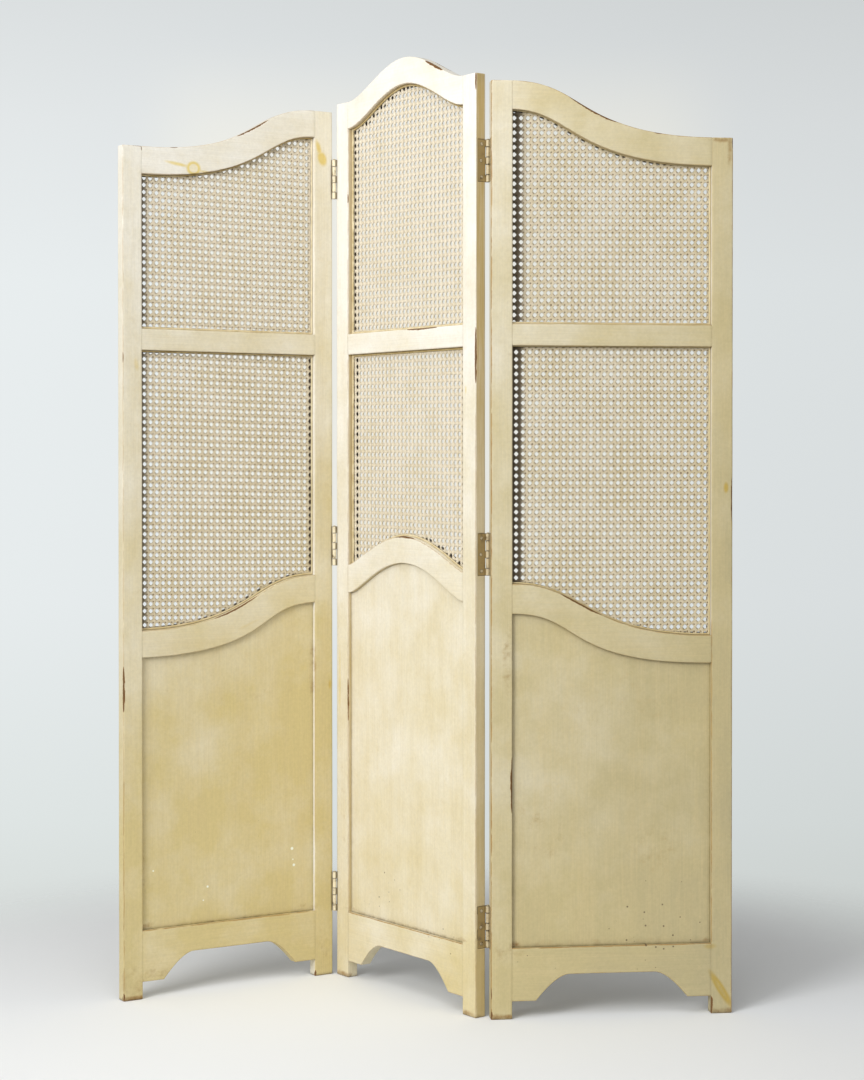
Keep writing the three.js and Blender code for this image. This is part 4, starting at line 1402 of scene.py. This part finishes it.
def screw_tree():
    """Screw heads on every point, turned to face outward and spun about their own line."""
    tree = GeometryTree("Countersunk screws", Head="Object")
    facing = tree.out("GeometryNodeInputNamedAttribute", {"Name": "facing"}, "Attribute",
                      data_type="FLOAT_VECTOR")
    turned = tree.out("FunctionNodeAlignRotationToVector", {"Vector": facing}, axis="Z")
    slot = tree.out("GeometryNodeInputNamedAttribute", {"Name": "slot"}, "Attribute",
                    data_type="FLOAT")
    spun = tree.out("GeometryNodeRotateInstances", {
        "Instances": tree.copies("Head", turned), "Local Space": True,
        "Rotation": tree.out("ShaderNodeCombineXYZ", {"Z": slot})})
    return tree.close(tree.real(spun))


def build_screws(fold, side, panel, face, edge, head, tree):
    hinge = HingeFrame(face, edge)
    random = np.random.default_rng(len(fold) * 31 + len(side))
    seats = []
    for place, height in FOLDS[fold].items():
        low, high = hinge_span(fold, place)
        for z, deep in ((low + HINGE["inset"], HINGE["near"]), (height, HINGE["far"]),
                        (high - HINGE["inset"], HINGE["near"])):
            seats.append(hinge.points(hinge.to_pin - 0.05, HINGE["offset"] + deep, z)[0])
    outward = np.append(panel.across if edge == "right" else -panel.across, 0)
    made = plain_object(f"screws_{fold}_{side}", panel.place(np.array(seats)),
                        facing=np.tile(outward, (len(seats), 1)),
                        slot=random.uniform(0, math.pi, len(seats)))
    run_tree(made, tree, Head=head, Material=material("steel"))
    mesh = made.data
    for key in {"facing", "slot"} & set(mesh.attributes.keys()):
        mesh.attributes.remove(mesh.attributes[key])
    for key, value in {"browned": 0.1, "bright": 0.2}.items():
        set_values(mesh, key, np.full(len(mesh.vertices), value))
    smooth_below(mesh, 35)
    dress(made, "steel", panel.body, "hinge_steel")


# ---- Settings ----


def number(name, description, default, low=0.0, high=1000.0, unit="NONE"):
    return FloatProperty(name=name, description=description, default=default, min=low, max=high,
                         unit=unit)


def length(name, description, default, low, high):
    return number(name, description, default, low, high, "LENGTH")


class ScreenSizes(bpy.types.PropertyGroup):
    """Sizes of the screen's own detail."""

    station_pitch: length("Wood Detail", "Spacing of the points along a stile or rail",
                          0.0032, 0.002, 0.02)
    cane_pitch: length("Cane Pitch", "Distance from one hole of the weave to the next",
                       0.013, 0.009, 0.02)
    strand_width: length("Strand Width", "Width of the paired upright and level strands",
                         0.0028, 0.001, 0.004)
    diagonal_width: length("Diagonal Width", "Width of the diagonal strands",
                           0.0024, 0.001, 0.005)
    strand_thickness: length("Strand Thickness", "Thickness of one strand of cane",
                             0.0011, 0.0003, 0.002)
    pair_spacing: length("Pair Spacing", "Distance between the two strands of a pair",
                         0.0021, 0.001, 0.005)
    cane_wander: length("Cane Wander", "How far the hand-drawn weave strays from its grid",
                        0.0012, 0.0, 0.004)


def colour(name, description, code):
    return FloatVectorProperty(name=name, description=description, default=srgb(code),
                               subtype="COLOR", min=0, max=1)


class ScreenColours(bpy.types.PropertyGroup):
    """Colours of the paint, cane and metal."""

    fresh_paint: colour("Fresh Paint", "Cream paint where it has yellowed least", 0xEEEBE3)
    # The aged end also serves as painted shade, lower down and towards the right
    aged_paint: colour("Aged Paint", "Cream paint where it has yellowed most", 0xCEBD86)
    # Also serves as painted shade, lower down and on the right panel
    grey_paint: colour("Greyed Paint", "Paint that has greyed as well as yellowed", 0xAFA480)
    glaze_wash: colour("Glaze Wash", "Thin brown wash left in the brush marks", 0xCDBB8C)
    # Also the colour of painted shade in corners, gaps and the stile's shadow on the cane
    umber_glaze: colour("Umber Glaze", "Dark glaze caught in joints and corners", 0x43341D)
    ochre_stain: colour("Ochre Stain", "Spilled and rubbed ochre stain", 0xF5DD6E)
    thin_paint: colour("Thin Paint", "Paint worn thin along an arris", 0xA4824A)
    orange_wood: colour("Orange Wood", "Stained wood at the rim of a rubbed arris", 0x835A24)
    bare_wood: colour("Bare Wood", "Brown wood where an arris is rubbed through", 0x46301A)
    # Also the colour of painted shade on reveals and splines that lie in shade
    brown_edge: colour("Brown Edge", "Brown glaze on reveals and on the folded edge", 0xB9A26C)
    dirt: colour("Dirt", "Brown dirt rubbed into corners", 0xB48F52)
    pit: colour("Pit", "Dirt beside the crossings of the cane", 0x6A5128)
    # Painted shade in the gaps beside the crossings of the cane
    raw_ledge: colour("Raw Ledge", "Unpainted wood behind the cane", 0x3A2A16)
    # Dark raw wood, darkened further as painted shade
    cane_light: colour("Cane", "Cream-washed split cane", 0xE6DCC8)
    # The darker end of the cane's tone, which also carries painted shade
    cane_dark: colour("Cane Shade", "Bare split cane", 0xCFBF96)
    # Brown glaze, and the painted shade round the holes of the cane
    cane_glaze: colour("Cane Glaze", "Brown glaze round the holes of the cane", 0x84703F)
    reed_light: colour("Reed", "Half-round reed", 0xEFE3C4)
    hinge_paint: colour("Hinge Paint", "Cream paint on the knuckles", 0xE9DDBE)
    hinge_brown: colour("Hinge Brown", "Browned paint on the leaves", 0xA08A5C)
    steel: colour("Steel", "Bare steel", 0x8D8578)


class StudioSettings(bpy.types.PropertyGroup):
    """Floor, lamps and camera."""

    floor_colour: colour("Floor", "Pale studio floor", 0xEDEFF1)
    key_power: number("Key Lamp", "Power of the large lamp at the front left, in watts", 126.0)
    top_power: number("Top Lamp", "Power of the large lamp overhead, in watts", 31.0)
    room_front: number("Room Light, Front", "Strength of the soft light from in front", 0.65)
    room_back: number("Room Light, Back", "Strength of the soft light from behind", 0.16)
    key_size: length("Key Size", "Side of the large lamp", 1.8, 0.1, 10.0)
    focal_length: number("Focal Length", "Lens, for a 36 mm sensor on the long side",
                         74.73, 10.0, 300.0, "CAMERA")


# ---- Studio ----


def lamp(name, power, size, place, target, tint=(1, 1, 1)):
    data = bpy.data.lights.new(name, "AREA")
    data.energy, data.size, data.color = power, size, tint
    made = link_object(name, data)
    made.location = place
    made.rotation_euler = (Vector(target) - Vector(place)).to_track_quat("-Z", "Y").to_euler()


def studio_floor(settings):
    """A pale disc that keeps the shadows and clears towards its rim, into the backdrop."""

    def pale(f):
        f.node("ShaderNodeOutputMaterial", {"Surface": f.out("ShaderNodeMixShader", {
            0: f.between(f.vectors("LENGTH", f.place()), 0.8, 1.55),
            1: f.out("ShaderNodeBsdfDiffuse", {"Color": settings.floor_colour}),
            2: f.out("ShaderNodeBsdfTransparent")})})

    rings, sides = [0.6, 1.0, 1.4, 1.8, 2.2], 64
    angles = np.arange(sides) / sides * math.tau
    points = [(0, 0, 0)]
    points += [(ring * math.cos(a), ring * math.sin(a), 0) for ring in rings for a in angles]
    faces = []
    for i in range(sides):
        j = (i + 1) % sides
        faces.append([0, 1 + i, 1 + j])
        for ring in range(len(rings) - 1):
            a, b = 1 + ring * sides, 1 + (ring + 1) * sides
            faces.append([a + i, b + i, b + j, a + j])
    made = plain_object("studio_floor", points, faces)
    made.data.materials.append(new_material("studio_floor", pale))
    return made


# The camera: its place in metres, and its tilt in radians
CAMERA_PLACE = (0.0190975, -4.1823787, 0.98763)
CAMERA_TILT = -0.0120
CAMERA_SHIFT = -0.0429
SENSOR = 36.0

# The backdrop's colour by the height of the line of sight, from low down to the top
BACKDROP = [(-0.3, 0xE9EAE7), (-0.205, 0xD3D8D5), (-0.155, 0xDBE1E0), (-0.06, 0xE3E8E9),
            (0.08, 0xE5EAEB), (0.15, 0xE0E4E5), (0.21, 0xD7DBDC)]
BACKDROP_LIMIT = 0.3
BACKDROP_MIDDLE = 0xEDEDE6


def studio_world(settings):
    """Even room light, and a pale backdrop that is a little darker low down and at the top."""
    world = bpy.data.worlds.new("studio")
    world.use_nodes = True
    f = Nodes(world.node_tree)
    ray = f.out("ShaderNodeTexCoord", output="Generated")
    parts = f.node("ShaderNodeSeparateXYZ", {0: ray}).outputs
    sideways, up = parts["X"], parts["Z"]
    ramp = f.node("ShaderNodeValToRGB", {0: f.out("ShaderNodeMapRange", {
        "Value": up, "From Min": -BACKDROP_LIMIT, "From Max": BACKDROP_LIMIT})})
    elements = ramp.color_ramp.elements
    for index, (height, code) in enumerate(BACKDROP):
        at = (height + BACKDROP_LIMIT) / (2 * BACKDROP_LIMIT)
        stop = elements[index] if index < 2 else elements.new(at)
        stop.position = at
        stop.color = (*srgb(code), 1)
    paths = f.node("ShaderNodeLightPath").outputs
    seen = f.math("MAXIMUM", paths["Is Camera Ray"], paths["Is Transmission Ray"])
    # Painted light on the backdrop: paler in the middle, and dimmer to the right
    height = f.between(up, -0.09, -0.03) * f.between(up, 0.19, 0.13)
    middle = f.between(f.math("ABSOLUTE", sideways), 0.14, 0.09) * height
    wall = f.mix(middle, ramp.outputs[0], srgb(BACKDROP_MIDDLE))
    backdrop = f.out("ShaderNodeBackground", {
        "Color": wall, "Strength": f.between(sideways, -0.24, 0.24, 1.04, 0.9)})
    towards = f.vectors("DOT_PRODUCT", ray, (-0.5, -0.75, 0.3))
    soft = f.between(towards, -0.8, 0.8, settings.room_back, settings.room_front)
    room = f.out("ShaderNodeBackground", {"Color": (1.0, 1.0, 0.98), "Strength": soft})
    mixed = f.out("ShaderNodeMixShader", {0: seen, 1: room, 2: backdrop})
    f.node("ShaderNodeOutputWorld", {"Surface": mixed})
    bpy.context.scene.world = world


# ---- Operators ----


class PieceOperator:
    """Shared by the operators, each of which builds one group of pieces."""

    bl_options = {"REGISTER", "UNDO"}

    def execute(self, context):
        self.build(context.scene)
        return {"FINISHED"}


class SCREEN_OT_frames(PieceOperator, bpy.types.Operator):
    """Build the painted stiles and rails of the three panels"""

    bl_idname = "screen.build_frames"
    bl_label = "Painted Frames"

    def build(self, scene):
        seeds = itertools.count(11, 13)
        for panel in PANELS.values():
            for name, edge, height in panel.stiles:
                build_stile(panel, name, edge, height, next(seeds))
            for rail in panel.rails:
                build_rail(panel, rail, next(seeds))


class SCREEN_OT_fields(PieceOperator, bpy.types.Operator):
    """Build the painted plywood fields below the waist rails"""

    bl_idname = "screen.build_fields"
    bl_label = "Plywood Fields"

    def build(self, scene):
        for index, panel in enumerate(PANELS.values()):
            build_field(panel, 401 + 17 * index)


class SCREEN_OT_cane(PieceOperator, bpy.types.Operator):
    """Weave the cane sheets of the six openings"""

    bl_idname = "screen.weave_cane"
    bl_label = "Woven Cane"

    def build(self, scene):
        tree = cane_tree()
        for panel in PANELS.values():
            for which in panel.openings:
                build_cane(panel, which, tree)


class SCREEN_OT_splines(PieceOperator, bpy.types.Operator):
    """Lay the reed splines round the cane"""

    bl_idname = "screen.lay_splines"
    bl_label = "Reed Splines"

    def build(self, scene):
        for panel in PANELS.values():
            for which in panel.openings:
                build_spline(panel, which)


class SCREEN_OT_hinges(PieceOperator, bpy.types.Operator):
    """Build the hinge leaves, knuckles and pins"""

    bl_idname = "screen.build_hinges"
    bl_label = "Hinges"

    def build(self, scene):
        for fold, side, panel, face, edge in LEAVES:
            for place in FOLDS[fold]:
                build_leaf(PANELS[panel], fold, place, side, face, edge)
        for fold in FOLDS:
            for place in FOLDS[fold]:
                build_pin(fold, place)


class SCREEN_OT_screws(PieceOperator, bpy.types.Operator):
    """Set three slotted screws in every hinge leaf"""

    bl_idname = "screen.set_screws"
    bl_label = "Hinge Screws"

    def build(self, scene):
        head, tree = screw_pattern(), screw_tree()
        for fold, side, panel, face, edge in LEAVES:
            build_screws(fold, side, PANELS[panel], face, edge, head, tree)
        bpy.data.objects.remove(head)


class SCREEN_OT_studio(PieceOperator, bpy.types.Operator):
    """Set up the floor, the lamps, the backdrop and the camera"""

    bl_idname = "screen.build_studio"
    bl_label = "Studio"

    def build(self, scene):
        settings = scene.screen_studio
        studio_floor(settings)
        studio_world(settings)
        lamp("key_lamp", settings.key_power, settings.key_size, (-2.6, -3.7, 2.6), (0, 0, 1.0),
             (1.0, 1.0, 0.99))
        lamp("top_lamp", settings.top_power, 2.0, (-0.6, -1.8, 3.4), (0, 0, 0.9))
        data = bpy.data.cameras.new("camera")
        data.lens, data.sensor_width, data.shift_y = settings.focal_length, SENSOR, CAMERA_SHIFT
        camera = link_object("camera", data)
        camera.location = CAMERA_PLACE
        camera.rotation_euler = (math.pi / 2 + CAMERA_TILT, 0, 0)
        scene.camera = camera
        scene.view_settings.view_transform = "Standard"


class SCREEN_PT_panel(bpy.types.Panel):
    """Lists the steps and the settings of the screen"""

    bl_label = "Folding Screen"
    bl_idname = "SCREEN_PT_panel"
    bl_space_type = "VIEW_3D"
    bl_region_type = "UI"
    bl_category = "Folding Screen"

    def draw(self, context):
        for operator in OPERATORS:
            self.layout.operator(operator.bl_idname)
        for group in (context.scene.screen_sizes, context.scene.screen_colours,
                      context.scene.screen_studio):
            box = self.layout.box()
            for key in group.bl_rna.properties.keys():
                if key not in {"rna_type", "name"}:
                    box.prop(group, key)


OPERATORS = (SCREEN_OT_frames, SCREEN_OT_fields, SCREEN_OT_cane, SCREEN_OT_splines,
             SCREEN_OT_hinges, SCREEN_OT_screws, SCREEN_OT_studio)
CLASSES = (ScreenSizes, ScreenColours, StudioSettings, *OPERATORS, SCREEN_PT_panel)


def register():
    for cls in CLASSES:
        bpy.utils.register_class(cls)
    bpy.types.Scene.screen_sizes = PointerProperty(type=ScreenSizes)
    bpy.types.Scene.screen_colours = PointerProperty(type=ScreenColours)
    bpy.types.Scene.screen_studio = PointerProperty(type=StudioSettings)


def unregister():
    del bpy.types.Scene.screen_studio
    del bpy.types.Scene.screen_colours
    del bpy.types.Scene.screen_sizes
    for cls in reversed(CLASSES):
        bpy.utils.unregister_class(cls)


def main():
    register()
    bpy.ops.screen.build_frames()
    bpy.ops.screen.build_fields()
    bpy.ops.screen.weave_cane()
    bpy.ops.screen.lay_splines()
    bpy.ops.screen.build_hinges()
    bpy.ops.screen.set_screws()
    bpy.ops.screen.build_studio()


if __name__ == "__main__":
    main()
